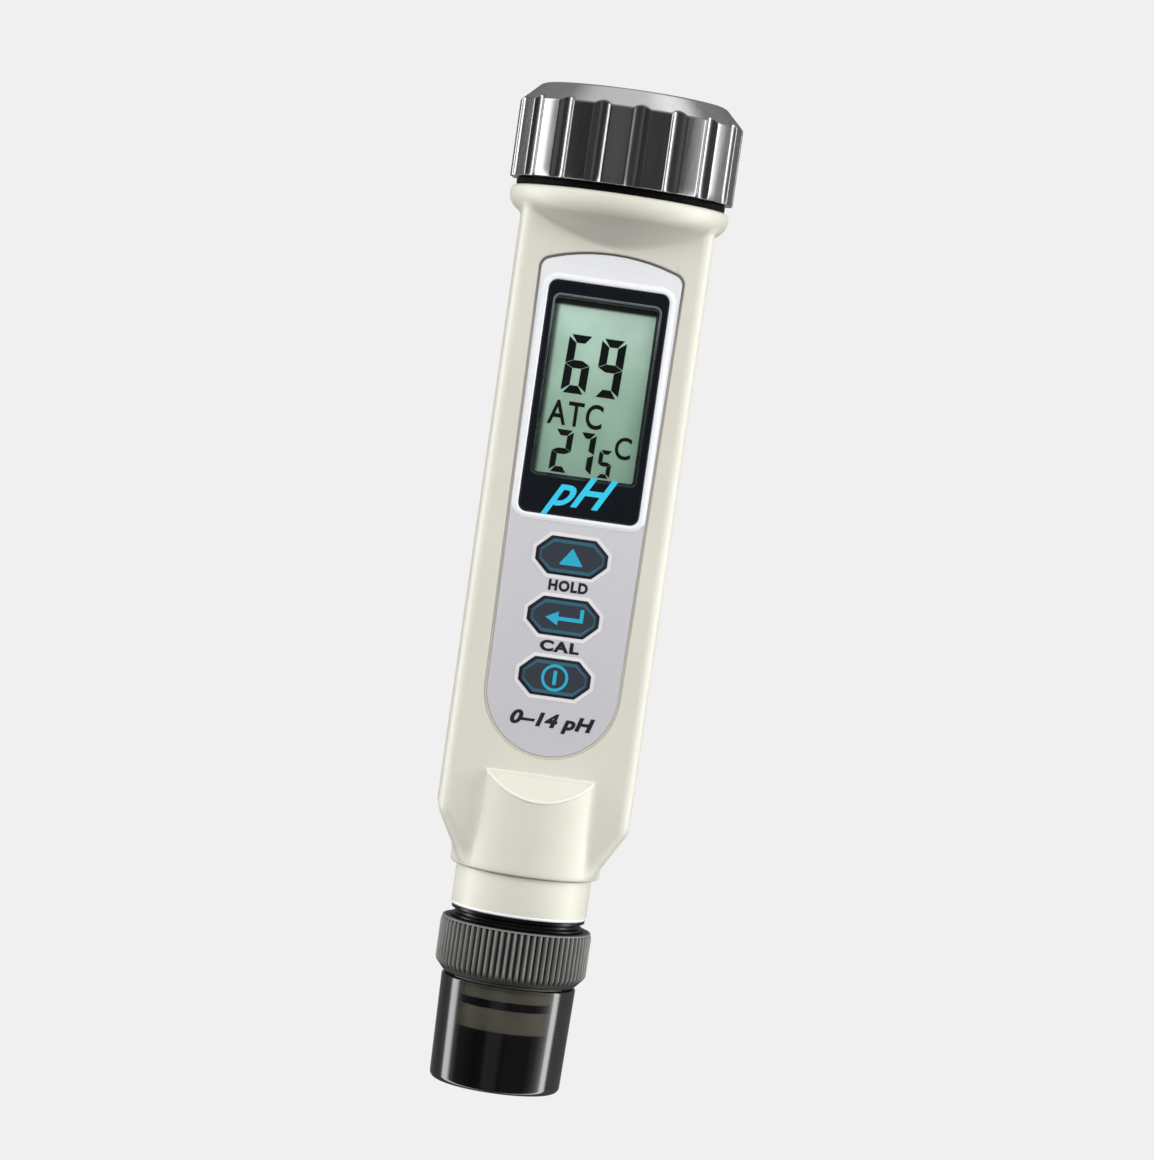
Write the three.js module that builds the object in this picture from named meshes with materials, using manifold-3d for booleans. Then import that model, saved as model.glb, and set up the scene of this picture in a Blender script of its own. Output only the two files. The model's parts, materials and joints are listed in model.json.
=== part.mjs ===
// A pen-type pH meter: a white tube with a display and three keys, a screwed battery cap on top,
// and a plug-in electrode held by a ribbed ring below, under a smoked storage cap.
// Millimetres. Z is the pen's long axis with 0 at the storage cap's base, and the display faces -Y.
import * as THREE from "three";
import { mergeVertices } from "three/addons/utils/BufferGeometryUtils.js";
import Module from "manifold-3d";

const wasm = await Module();
wasm.setup();

// ---------- driving dimensions ----------
const FIT = 0.15; // gap left round a piece that sits in a pocket
const TOUCH = 0.05; // gap between two pieces that rest on each other
const SEATED = 0.02; // gap behind a piece that is stuck or pressed down
const SEAL_PLAY = 0.1; // room above and below an O-ring in its groove
const LARGE = 40; // segments of a large round
const SMALL = 20; // segments of a small round
const TINY = 10; // segments of a pin, screw or wire

const BODY = {
  halfWidth: 17.1, front: -9.4, back: 12.5, frontEdge: 2.2, backEdge: 8, wall: 2, frontWall: 2.4,
  foot: 42, footHalfWidth: 13.4, shoulder: 48.7, taperStart: 56.9, taperDepth: 2.4, top: 156.5,
};
const NOSE = { radius: 13.4, base: 39, edge: 0.5, facetLow: 52.4, facetHigh: 56.8 };
const FLANGE = {
  radius: 19.6, round: 1.25, top: 159.9, coneFoot: 151.1, coneTop: 156, coneRadius: 18.5,
  rimCorner: 156.6, rimLow: 157.6,
};
const NECK = { radius: 15.9, bore: 13.9, boreLow: 157.4, top: 173.4 };
const CAVITY = { low: 50.9, high: 150.9, frontRound: 1, backRound: 6, noseTop: 51.9, clearance: 0.3 };
const PASSAGE = { halfWidth: 12, low: 149.9, high: 158.9, backRound: 3 };

const SEAL = { radius: 18.7, bore: 16.1, thickness: 1.3 };
const BATTERY_CAP = {
  base: 161.3, top: 178.3, radius: 20, topRadius: 16.5, chamferStart: 174.9,
  flutes: 18, fluteWidth: 2.9, fluteDepth: 0.65, firstFlute: 1.6, bore: 17.85, roof: 2,
};
const CAP_LINER = { bore: 16.75, base: 162.1, roof: 0.9 };
const CONTACT_PLATE = { low: 174.2, thickness: 0.4, radius: 12.8 };
const SPRING = { wire: 0.3, turns: 3, height: 2.6, lowRadius: 2.2, highRadius: 4.5, stepsPerTurn: 8 };
const TRAY = { radius: 7.4, bore: 6.05, floor: 147.8, floorTop: 148.8, top: 168.9 };
const CELL = { radius: 5.8, height: 5.4, count: 4, pitch: 5.42, low: 149.3, axisY: 1, edge: 0.4, step: 0.9 };
const BASE_CONTACT = { radius: 5, gap: 0.05 };
const SIDE_CONTACT = { left: 11.2, right: 11.6, halfDepth: 2 };

const LABEL = {
  halfWidth: 12.54, endRadius: 11.65, endCentre: 71.95, corner: 147, peak: 149.4, cornerRadius: 1.8,
  archStart: 0.45, thickness: 0.5, proud: 0.05,
};
const WINDOW = {
  halfWidth: 10.66, low: 102.9, high: 143.9, round: 1.5, proud: 0.2, rim: 0.75, rimProud: 0.35,
};
const SCREEN = { halfWidth: 8.86, low: 110.1, high: 140.9, bevel: 0.8, lens: 0.75, rebate: 0.9 };
const LCD = { halfWidth: 9.9, low: 107.4, high: 143.2, behindWall: 0.1, thickness: 1.6 };
const REFLECTOR = { halfWidth: 9.6, thickness: 0.3 };
const STRIP = { halfWidth: 9.2, above: 0.3, height: 2.2 };
const HOLDER = { halfWidth: 11.4, margin: 2.3, gap: 0.2 };
const KEYS = {
  names: ["power", "cal", "hold"], lowest: 74.4, pitch: 10.75, hole: 0.2, labelHole: 0.3,
  width: 12.6, height: 6.6, flatWidth: 7.8, flatHeight: 2.1,
  proud: 0.35, flange: 0.7, flangeLip: 0.7, behindWall: 0.15,
};

const BOARD = {
  front: -2.5, thickness: 1.6, halfWidth: 10.5, low: 58.9, high: 147.4, corner: 0.8, hole: 1.1,
};
const SCREW = {
  x: 7.5, height: 63.4, headRadius: 1.6, head: 1.1, shaftRadius: 0.85, shaftBack: 2.4,
  slot: 0.4, slotDepth: 0.5,
};
const CHASSIS = {
  front: 1, back: 3, halfWidth: 14.7, low: 57.4, high: 146.4, windowHalfWidth: 10,
  windows: [[70.9, 92.9], [96.9, 118.9], [122.9, 141.9]], boss: 2.3, bossHole: 1,
};
const MAT = { halfWidth: 9.3, margin: 5.4, sheet: 0.75, domeRadius: 3.2, domeTop: 2, domeHeight: 2.6 };
const CHIPS = { processor: [4.5, 102.9, 111.9], amplifier: [2.5, 76.9, 80.9], height: 1.4 };
const CRYSTAL = { halfWidth: 4, low: 86.9, high: 90.3, height: 1.6 };
const WIRE = { radius: 0.5, start: 44.5, straight: 47.9, bend: 52.9, landing: 57.9, end: 61.9, spacing: 3 };

const COLLAR = {
  base: 31.5, top: 38.6, radius: 12.2, edge: 0.35, spigotRadius: 11, spigotTop: 45.9, bore: 9.6,
};
const SOCKET = {
  base: 24.1, top: 44.9, core: 11, bore: 8.3, webLow: 38.7, webHigh: 42.9, stemRadius: 9.4, stemWall: 1.4,
  bandRadius: 11.9, waistRadius: 11.3, flangeRadius: 12, bandLow: 29.4, bandHigh: 29.85, flangeLow: 30.95,
  slope: 0.3,
};
const LOCK_RING = {
  base: 19.3, top: 29.3, radius: 13.6, ribs: 72, ribDepth: 0.4, footRadius: 11.8, chamferTop: 21.3,
  rimRadius: 13.4, rim: 0.45, bore: 11.35, lipBore: 9.9, lipTop: 21.1,
};
const ELECTRODE = {
  plugRadius: 8.1, plugTop: 38.2, plugLow: 23.8, flangeRadius: 11, flangeLow: 21.3, shaftRadius: 9.6,
  shaftLow: 10.5, spigotRadius: 7.6, spigotLow: 9.5, bandRadius: 9.8, bandLow: 15.8, bandHigh: 17.9,
};
const BULB = { radius: 3.1, centre: 6.8, stem: 2.5, top: 13.3, socketRadius: 2.8 };
const JUNCTION = { x: 4.8, radius: 0.9, low: 8.3, high: 11.4, socketRadius: 1.1 };
const PROBE = { x: -5, radius: 1.2, low: 5.3, high: 12.4, socketRadius: 1.4 };
const SOCKET_FLOOR_GAP = 0.3; // between a pin or the bulb's stem and the floor of its hole
const GUARD = { radius: 9, bore: 7.8, low: 3.6, high: 10.4, slots: 2, slotWidth: 4, slotTop: 7.9 };
const PINS = { count: 3, circle: 4.6, radius: 0.5, low: 37.1, top: 40.7 };
const CONTACTS = { bore: 0.65, radius: 1.1, low: 38.8, top: 44.3, hole: 1.25 };
const COLLAR_SEAL = { circle: 10.75, cord: 0.5, height: 42.4 };
const PLUG_SEAL = { circle: 7.75, cord: 0.5, height: 30.9 };
const CAP_RING = { circle: 9.55, cord: 0.75, height: 15.4 };
const PROBE_CAP = {
  height: 19, topRadius: 12.1, baseRadius: 11.7, edge: 1.2, topBore: 10.5, baseBore: 10.2, floor: 1.3,
};
const SPONGE = { radius: 9.6, low: 1.4, high: 3.3 };

// ---------- tools for making solids ----------

// A closed geometry as a solid that can be joined and cut.
function solid(geometry) {
  const bare = geometry.clone();
  bare.deleteAttribute("normal");
  bare.deleteAttribute("uv");
  const merged = mergeVertices(bare, 1e-4);
  const index = merged.index.array;
  const triVerts = [];
  for (let i = 0; i < index.length; i += 3) {
    const [a, b, c] = [index[i], index[i + 1], index[i + 2]];
    if (a !== b && b !== c && c !== a) triVerts.push(a, b, c);
  }
  return new wasm.Manifold(
    new wasm.Mesh({
      numProp: 3,
      vertProperties: merged.attributes.position.array,
      triVerts: new Uint32Array(triVerts),
    }),
  );
}

// A solid back as a three.js geometry.
function geometryOf(made) {
  const mesh = made.getMesh();
  const geometry = new THREE.BufferGeometry();
  geometry.setAttribute("position", new THREE.BufferAttribute(mesh.vertProperties, mesh.numProp));
  geometry.setIndex(new THREE.BufferAttribute(mesh.triVerts, 1));
  geometry.computeVertexNormals();
  return geometry;
}

const join = (first, ...others) => others.reduce((made, other) => made.add(other), first);
const cut = (first, ...others) => others.reduce((made, other) => made.subtract(other), first);

// A path through points given as [across, up].
function outline(points, Kind = THREE.Shape) {
  const path = new Kind();
  path.moveTo(...points[0]);
  points.slice(1).forEach((point) => path.lineTo(...point));
  return path;
}

// A profile of [radius, height] points, or a path, turned about Z. It starts and ends on the axis or closes.
function turned(profile, segments = LARGE, arcPoints = 5) {
  const path = Array.isArray(profile) ? outline(profile, THREE.Path) : profile;
  const points = path.getPoints(arcPoints);
  const area = points.reduce((sum, p, i) => {
    const next = points[(i + 1) % points.length];
    return sum + p.x * next.y - next.x * p.y;
  }, 0);
  if (area < 0) points.reverse();
  return solid(new THREE.LatheGeometry(points, segments).rotateX(Math.PI / 2));
}

// A plain round bar, or a ring when it has a bore, about Z.
function bar(radius, low, high, segments = LARGE) {
  return turned([[0, low], [radius, low], [radius, high], [0, high]], segments);
}
function ring(bore, radius, low, high, segments = LARGE) {
  return turned([[bore, low], [radius, low], [radius, high], [bore, high], [bore, low]], segments);
}

// A round cord bent into a circle about Z.
function cordRing(circle, cord, height) {
  const path = new THREE.Path();
  path.absarc(circle, height, cord, 0, 2 * Math.PI);
  return turned(path, 32, 3);
}

// A shape in X and Y, raised from low to high.
function raised(shape, low, high, curveSegments = 6) {
  const options = { depth: high - low, bevelEnabled: false, curveSegments };
  return solid(new THREE.ExtrudeGeometry(shape, options).translate(0, 0, low));
}

// A shape in X and Z, running from front to back in Y.
function plate(shape, front, back, curveSegments = 6) {
  const options = { depth: back - front, bevelEnabled: false, curveSegments };
  const geometry = new THREE.ExtrudeGeometry(shape, options).rotateX(Math.PI / 2);
  return solid(geometry.translate(0, back, 0));
}

// A shape in Y and Z, running from -halfWidth to +halfWidth in X.
function across(shape, halfWidth) {
  const options = { depth: 2 * halfWidth, bevelEnabled: false };
  const geometry = new THREE.ExtrudeGeometry(shape, options).translate(0, 0, -halfWidth);
  const turn = new THREE.Matrix4().makeBasis(
    new THREE.Vector3(0, 1, 0), new THREE.Vector3(0, 0, 1), new THREE.Vector3(1, 0, 0),
  );
  return solid(geometry.applyMatrix4(turn));
}

// A rectangle with round corners: one radius for the lower pair, one for the upper pair.
function roundedRectangle(left, low, right, high, lowRound, highRound = lowRound) {
  const shape = new THREE.Shape();
  shape.absarc(left + lowRound, low + lowRound, lowRound, Math.PI, 1.5 * Math.PI);
  shape.absarc(right - lowRound, low + lowRound, lowRound, 1.5 * Math.PI, 2 * Math.PI);
  shape.absarc(right - highRound, high - highRound, highRound, 0, 0.5 * Math.PI);
  shape.absarc(left + highRound, high - highRound, highRound, 0.5 * Math.PI, Math.PI);
  return shape;
}

function disc(radius, x = 0, y = 0) {
  const shape = new THREE.Shape();
  shape.absarc(x, y, radius, 0, 2 * Math.PI);
  return shape;
}

function box(left, right, front, back, low, high) {
  const geometry = new THREE.BoxGeometry(right - left, back - front, high - low);
  return solid(geometry.translate((left + right) / 2, (front + back) / 2, (low + high) / 2));
}

// A round cord along a smooth curve through points.
function cord(points, radius, steps, sides) {
  const curve = new THREE.CatmullRomCurve3(points.map((p) => new THREE.Vector3(...p)));
  const options = { steps, extrudePath: curve, curveSegments: sides / 2, bevelEnabled: false };
  return solid(new THREE.ExtrudeGeometry(disc(radius), options));
}

const FINISH = {
  whitePlastic: [0xdedbcc, 0.35, 0],
  silverPrint: [0xc6c4ca, 0.4, 0.2],
  whiteTrim: [0xf4f5f8, 0.3, 0],
  chrome: [0x9a9b9c, 0.12, 1],
  blackRubber: [0x141414, 0.7, 0],
  blackPlastic: [0x17191c, 0.3, 0],
  greyPlastic: [0x66676a, 0.5, 0],
  darkKey: [0x2c333b, 0.4, 0],
  smokedPlastic: [0x35342f, 0.1, 0],
  clearPlastic: [0xe8f0ee, 0.05, 0],
  lcdGreen: [0xa8ccb4, 0.3, 0],
  metalFoil: [0xc8c8c4, 0.3, 1],
  boardGreen: [0x1f5a36, 0.5, 0],
  steel: [0xb8b8b4, 0.25, 1],
  gold: [0xcaa552, 0.3, 1],
  ceramic: [0xe6e2d8, 0.6, 0],
  sponge: [0x24231f, 0.95, 0],
};

// One named piece of the meter.
function piece(name, made, finish) {
  const [color, roughness, metalness] = FINISH[finish];
  const material = new THREE.MeshStandardMaterial({ color, roughness, metalness });
  const mesh = new THREE.Mesh(geometryOf(made), material);
  mesh.name = name;
  return mesh;
}

// ---------- outlines shared by several pieces ----------

const frontY = BODY.front;
const innerFrontY = BODY.front + BODY.frontWall;
const keyHeights = KEYS.names.map((_, i) => KEYS.lowest + i * KEYS.pitch);

// The face label: an arched top with round corners, straight sides that draw in, and a half-round end.
function labelOutline(grow) {
  const side = LABEL.halfWidth + grow;
  const corner = LABEL.cornerRadius + grow;
  const end = LABEL.endRadius + grow;
  const archStart = LABEL.corner + grow + LABEL.archStart;
  const shape = new THREE.Shape();
  shape.absarc(0, LABEL.endCentre, end, Math.PI, 2 * Math.PI);
  shape.lineTo(side, LABEL.corner - corner);
  shape.quadraticCurveTo(side, LABEL.corner + grow, side - corner, archStart);
  shape.quadraticCurveTo(0, 2 * (LABEL.peak + grow) - archStart, corner - side, archStart);
  shape.quadraticCurveTo(-side, LABEL.corner + grow, -side, LABEL.corner - corner);
  return shape;
}

function windowOutline(grow) {
  const half = WINDOW.halfWidth + grow;
  return roundedRectangle(-half, WINDOW.low - grow, half, WINDOW.high + grow, WINDOW.round + grow);
}

// A long octagon, centred on a key.
function keyOutline(grow, height = 0) {
  const x = KEYS.width / 2 + grow;
  const z = KEYS.height / 2 + grow;
  const flatX = KEYS.flatWidth / 2 + 0.4 * grow;
  const flatZ = KEYS.flatHeight / 2 + 0.4 * grow;
  const corners = [
    [x, flatZ], [flatX, z], [-flatX, z], [-x, flatZ], [-x, -flatZ], [-flatX, -z], [flatX, -z], [x, -flatZ],
  ];
  return outline(corners.map(([a, b]) => [a, b + height]));
}

// ---------- housing ----------

// The slab of the body: its cross-section, its front outline and its side outline, all at once.
function bodySlab() {
  const section = roundedRectangle(
    -BODY.halfWidth, BODY.front, BODY.halfWidth, BODY.back, BODY.frontEdge, BODY.backEdge,
  );
  const front = outline([
    [-BODY.footHalfWidth, BODY.foot], [BODY.footHalfWidth, BODY.foot], [BODY.halfWidth, BODY.shoulder],
    [BODY.halfWidth, BODY.top], [-BODY.halfWidth, BODY.top], [-BODY.halfWidth, BODY.shoulder],
  ]);
  const side = outline([
    [BODY.front + BODY.taperDepth, BODY.foot], [BODY.back - BODY.taperDepth, BODY.foot],
    [BODY.back, BODY.taperStart], [BODY.back, BODY.top],
    [BODY.front, BODY.top], [BODY.front, BODY.taperStart],
  ]);
  return raised(section, BODY.foot, BODY.top)
    .intersect(plate(front, BODY.front - 1, BODY.back + 1))
    .intersect(across(side, BODY.halfWidth + 1));
}

// The round nose that carries the electrode end, cut away by a sloping facet at front and back.
function nose() {
  const round = turned([
    [0, NOSE.base], [NOSE.radius - NOSE.edge, NOSE.base], [NOSE.radius, NOSE.base + NOSE.edge],
    [NOSE.radius, NOSE.facetHigh], [0, NOSE.facetHigh],
  ]);
  const reach = NOSE.radius + 0.01;
  const backDrop = (reach - BODY.back) * (NOSE.facetHigh - NOSE.facetLow) / (reach + BODY.front);
  const side = outline([
    [-reach, NOSE.base], [reach, NOSE.base], [reach, NOSE.facetHigh - backDrop],
    [BODY.back, NOSE.facetHigh], [BODY.front, NOSE.facetHigh], [-reach, NOSE.facetLow],
  ]);
  return round.intersect(across(side, reach));
}

// The round top: a cone that meets the flat face in a smile, a rounded flange, and the threaded neck's core.
function neckAndFlange() {
  const rim = [FLANGE.radius - FLANGE.round, FLANGE.top - FLANGE.round];
  const path = new THREE.Path();
  path.moveTo(0, FLANGE.coneFoot);
  path.lineTo(-BODY.front, FLANGE.coneFoot);
  path.lineTo(FLANGE.coneRadius, FLANGE.coneTop);
  path.quadraticCurveTo(FLANGE.radius, FLANGE.rimCorner, FLANGE.radius, FLANGE.rimLow);
  path.absarc(...rim, FLANGE.round, 0, 0.5 * Math.PI);
  path.lineTo(NECK.radius, FLANGE.top);
  path.lineTo(NECK.radius, NECK.top);
  path.lineTo(0, NECK.top);
  return turned(path, LARGE, 4);
}

function housingHollow() {
  const inner = BODY.halfWidth - BODY.wall;
  const back = BODY.back - BODY.wall;
  const side = PASSAGE.halfWidth;
  const cavity = roundedRectangle(-inner, innerFrontY, inner, back, CAVITY.frontRound, CAVITY.backRound);
  const passage = roundedRectangle(-side, innerFrontY, side, back, CAVITY.frontRound, PASSAGE.backRound);
  return join(
    raised(cavity, CAVITY.low, CAVITY.high, 3),
    raised(passage, PASSAGE.low, PASSAGE.high, 3),
    bar(NECK.bore, NECK.boreLow, NECK.top + 1),
    bar(COLLAR.spigotRadius + CAVITY.clearance, NOSE.base - 1, CAVITY.noseTop),
  );
}

// One opening for each key, a little larger than the key, from front to back.
function keyOpenings(grow, front, back) {
  return keyHeights.map((height) => plate(keyOutline(grow, height), front, back));
}

function housing() {
  return cut(
    join(bodySlab(), nose(), neckAndFlange()),
    housingHollow(),
    plate(labelOutline(FIT), frontY - 1, frontY + LABEL.thickness + SEATED),
    plate(windowOutline(FIT), frontY - 1, innerFrontY + 1),
    ...keyOpenings(KEYS.hole, frontY - 1, innerFrontY + 1),
  );
}

// ---------- face: label, window and screen ----------

function faceLabel() {
  const front = frontY - LABEL.proud;
  return cut(
    plate(labelOutline(0), front, frontY + LABEL.thickness - SEATED, 8),
    plate(windowOutline(WINDOW.rim + 2 * TOUCH), front - 1, frontY + 2),
    ...keyOpenings(KEYS.labelHole, front - 1, frontY + 2),
  );
}

function windowRim() {
  const front = frontY - WINDOW.rimProud;
  return cut(
    plate(windowOutline(WINDOW.rim), front, frontY + LABEL.thickness - SEATED),
    plate(windowOutline(2 * TOUCH), front - 1, frontY + 2),
  );
}

// The black frame: bevelled towards the screen, with a rebate behind that holds the lens.
function displayFrame() {
  const front = frontY - WINDOW.proud;
  const rebateFront = innerFrontY - SCREEN.rebate;
  const depth = rebateFront - front + 2;
  const height = SCREEN.high - SCREEN.low;
  const funnel = new THREE.BoxGeometry(2 * SCREEN.halfWidth, depth, height);
  const position = funnel.attributes.position;
  const spread = SCREEN.bevel * depth / (depth - 2);
  for (let i = 0; i < position.count; i += 1) {
    if (position.getY(i) > 0) continue;
    position.setX(i, position.getX(i) + spread * Math.sign(position.getX(i)));
    position.setZ(i, position.getZ(i) + spread * Math.sign(position.getZ(i)));
  }
  funnel.translate(0, front - 1 + depth / 2, (SCREEN.low + SCREEN.high) / 2);
  const half = SCREEN.halfWidth + SCREEN.rebate;
  return cut(
    plate(windowOutline(-TOUCH), front, innerFrontY - SEATED),
    solid(funnel),
    box(-half, half, rebateFront, innerFrontY + 1, SCREEN.low - SCREEN.rebate, SCREEN.high + SCREEN.rebate),
  );
}

function displayLens() {
  const half = SCREEN.halfWidth + SCREEN.rebate - FIT;
  const front = innerFrontY - SCREEN.rebate + SEATED;
  const low = SCREEN.low - SCREEN.rebate + FIT;
  const high = SCREEN.high + SCREEN.rebate - FIT;
  return box(-half, half, front, front + SCREEN.lens, low, high);
}

const lcdFront = innerFrontY + LCD.behindWall;
const holderBack = BOARD.front - TOUCH;

// The frame round the glass, between the housing's wall and the board.
function lcdHolder() {
  const { halfWidth, margin, gap } = HOLDER;
  const outer = roundedRectangle(-halfWidth, LCD.low - margin, halfWidth, LCD.high + margin, 1);
  const side = LCD.halfWidth + gap;
  return cut(
    plate(outer, lcdFront, holderBack, 3),
    box(-side, side, lcdFront - 1, holderBack + 1, LCD.low - gap, LCD.high + gap),
  );
}

function addDisplay(group) {
  const lcdBack = lcdFront + LCD.thickness;
  const behind = lcdBack + TOUCH;
  const stripLow = LCD.low + STRIP.above;
  const stripHigh = stripLow + STRIP.height;
  const glass = box(-LCD.halfWidth, LCD.halfWidth, lcdFront, lcdBack, LCD.low, LCD.high);
  const foilBack = behind + REFLECTOR.thickness;
  const foilLow = stripHigh + STRIP.above;
  const foilHigh = LCD.high - HOLDER.gap;
  const foil = box(-REFLECTOR.halfWidth, REFLECTOR.halfWidth, behind, foilBack, foilLow, foilHigh);
  const strip = box(-STRIP.halfWidth, STRIP.halfWidth, behind, holderBack, stripLow, stripHigh);
  group.add(
    piece("face_label", faceLabel(), "silverPrint"),
    piece("window_rim", windowRim(), "whiteTrim"),
    piece("display_frame", displayFrame(), "blackPlastic"),
    piece("display_lens", displayLens(), "clearPlastic"),
    piece("lcd_glass", glass, "lcdGreen"),
    piece("lcd_reflector", foil, "metalFoil"),
    piece("zebra_strip", strip, "blackRubber"),
    piece("lcd_holder", lcdHolder(), "blackPlastic"),
  );
}

// ---------- electronics ----------

const boardBack = BOARD.front + BOARD.thickness;

function circuitBoard() {
  const { halfWidth, low, high, corner } = BOARD;
  const outlineShape = roundedRectangle(-halfWidth, low, halfWidth, high, corner);
  [-SCREW.x, SCREW.x].forEach((x) => outlineShape.holes.push(disc(BOARD.hole, x, SCREW.height)));
  return plate(outlineShape, BOARD.front, boardBack, 3);
}

// A ladder-like carrier behind the board, with a boss under each screw.
function chassis() {
  const shape = roundedRectangle(-CHASSIS.halfWidth, CHASSIS.low, CHASSIS.halfWidth, CHASSIS.high, 1);
  const side = CHASSIS.windowHalfWidth;
  CHASSIS.windows.forEach(([low, high]) => shape.holes.push(roundedRectangle(-side, low, side, high, 1.5)));
  const boss = (x) => plate(disc(CHASSIS.boss, x, SCREW.height), boardBack + TOUCH, CHASSIS.front + 0.5);
  const hole = (x) => plate(disc(CHASSIS.bossHole, x, SCREW.height), boardBack - 1, SCREW.shaftBack + FIT, 5);
  return cut(
    join(plate(shape, CHASSIS.front, CHASSIS.back, 3), boss(-SCREW.x), boss(SCREW.x)),
    hole(-SCREW.x), hole(SCREW.x),
  );
}

function boardScrew() {
  const seat = BOARD.front - TOUCH;
  const top = seat - SCREW.head;
  const slot = box(-1, 1, top - 0.1, top + SCREW.slotDepth, -SCREW.slot / 2, SCREW.slot / 2);
  return cut(
    join(
      plate(disc(SCREW.headRadius), top, seat),
      plate(disc(SCREW.shaftRadius), seat - 0.1, SCREW.shaftBack, 5),
    ),
    slot,
  );
}

// The rubber mat: a thin sheet on the board with a dome rising under each key.
function keyMat() {
  const base = BOARD.front - TOUCH;
  const { halfWidth, margin, sheet, domeRadius, domeTop, domeHeight } = MAT;
  const low = keyHeights[0] - margin;
  const high = keyHeights[keyHeights.length - 1] + margin;
  const domes = keyHeights.map((height) => {
    const cone = new THREE.CylinderGeometry(domeRadius, domeTop, domeHeight, SMALL);
    return solid(cone.translate(0, base - sheet / 2 - domeHeight / 2, height));
  });
  const outlineShape = roundedRectangle(-halfWidth, low, halfWidth, high, 1);
  return join(plate(outlineShape, base - sheet, base, 3), ...domes);
}

// A wire from a socket contact up to the lower end of the board.
function sensorWire(index) {
  const [x, y] = pinPlace(index);
  const end = boardBack + WIRE.radius + 0.1;
  const landing = (index - 1) * WIRE.spacing;
  const middle = [(x + landing) / 2, (y + end) / 2 + 0.5, WIRE.bend];
  const lower = [[x, y, WIRE.start], [x, y, WIRE.straight]];
  const upper = [[landing, end, WIRE.landing], [landing, end, WIRE.end]];
  return cord([...lower, middle, ...upper], WIRE.radius, 12, 8);
}

function addElectronics(group) {
  const screws = [-SCREW.x, SCREW.x].map((x, i) => {
    const screw = piece(["board_screw_left", "board_screw_right"][i], boardScrew(), "steel");
    screw.position.set(x, 0, SCREW.height);
    return screw;
  });
  const chipFront = boardBack + TOUCH;
  const chip = ([side, low, high]) => box(-side, side, chipFront, chipFront + CHIPS.height, low, high);
  const can = roundedRectangle(-CRYSTAL.halfWidth, CRYSTAL.low, CRYSTAL.halfWidth, CRYSTAL.high, 1.6);
  const wires = pinNumbers.map((i) => piece("sensor_wire_" + (i + 1), sensorWire(i), "blackRubber"));
  group.add(
    piece("circuit_board", circuitBoard(), "boardGreen"),
    piece("chassis", chassis(), "blackPlastic"),
    piece("key_mat", keyMat(), "greyPlastic"),
    piece("processor_chip", chip(CHIPS.processor), "blackPlastic"),
    piece("amplifier_chip", chip(CHIPS.amplifier), "blackPlastic"),
    piece("clock_crystal", plate(can, chipFront, chipFront + CRYSTAL.height), "steel"),
    ...screws,
    ...wires,
  );
}

// ---------- battery end ----------

function batteryTray() {
  return turned([
    [0, TRAY.floor], [TRAY.radius, TRAY.floor], [TRAY.radius, TRAY.top], [TRAY.bore, TRAY.top],
    [TRAY.bore, TRAY.floorTop], [0, TRAY.floorTop],
  ]);
}

function buttonCell() {
  const { radius, height, edge, step } = CELL;
  return turned([
    [0, 0], [radius - edge, 0], [radius, edge], [radius, height - step],
    [radius - step, height - step / 2], [radius - step - edge, height], [0, height],
  ], SMALL);
}

// The coil that presses on the top cell, wider at the contact plate.
function batterySpring() {
  const { wire, turns, height, lowRadius, highRadius, stepsPerTurn } = SPRING;
  const steps = turns * stepsPerTurn;
  const points = Array.from({ length: steps + 1 }, (_, i) => {
    const share = i / steps;
    const angle = 2 * Math.PI * turns * share;
    const radius = lowRadius + (highRadius - lowRadius) * share;
    return [radius * Math.cos(angle), radius * Math.sin(angle), height * share];
  });
  return cord(points, wire, steps * 2, 4);
}

// The fluted chrome shell: lobes with narrow round grooves, a chamfer that the grooves run out into.
function batteryCap() {
  const { radius, flutes, fluteWidth, fluteDepth, firstFlute } = BATTERY_CAP;
  const half = Math.asin(fluteWidth / 2 / radius);
  const period = 2 * Math.PI / flutes;
  const points = [];
  for (let i = 0; i < flutes; i += 1) {
    const groove = firstFlute * Math.PI / 180 - Math.PI / 2 + i * period;
    for (let k = -3; k <= 3; k += 1) {
      const depth = fluteDepth * Math.cos((k / 3) * Math.PI / 2);
      points.push([groove + (k / 3) * half, radius - depth]);
    }
    for (let k = 1; k <= 3; k += 1) points.push([groove + half + (k / 4) * (period - 2 * half), radius]);
  }
  const section = outline(points.map(([angle, r]) => [r * Math.cos(angle), r * Math.sin(angle)]));
  const envelope = turned([
    [0, BATTERY_CAP.base], [radius + 0.2, BATTERY_CAP.base],
    [radius + 0.2, BATTERY_CAP.chamferStart - 0.16],
    [BATTERY_CAP.topRadius, BATTERY_CAP.top], [0, BATTERY_CAP.top],
  ], 2 * BATTERY_CAP.flutes);
  return cut(
    raised(section, BATTERY_CAP.base, BATTERY_CAP.top).intersect(envelope),
    bar(BATTERY_CAP.bore, BATTERY_CAP.base - 1, BATTERY_CAP.top - BATTERY_CAP.roof),
  );
}

function capLiner() {
  const outer = BATTERY_CAP.bore - FIT;
  const roofLow = CONTACT_PLATE.low + CONTACT_PLATE.thickness + 0.15;
  const roofHigh = roofLow + CAP_LINER.roof;
  return turned([
    [0, roofLow], [CAP_LINER.bore, roofLow], [CAP_LINER.bore, CAP_LINER.base], [outer, CAP_LINER.base],
    [outer, roofHigh], [0, roofHigh],
  ]);
}

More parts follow.
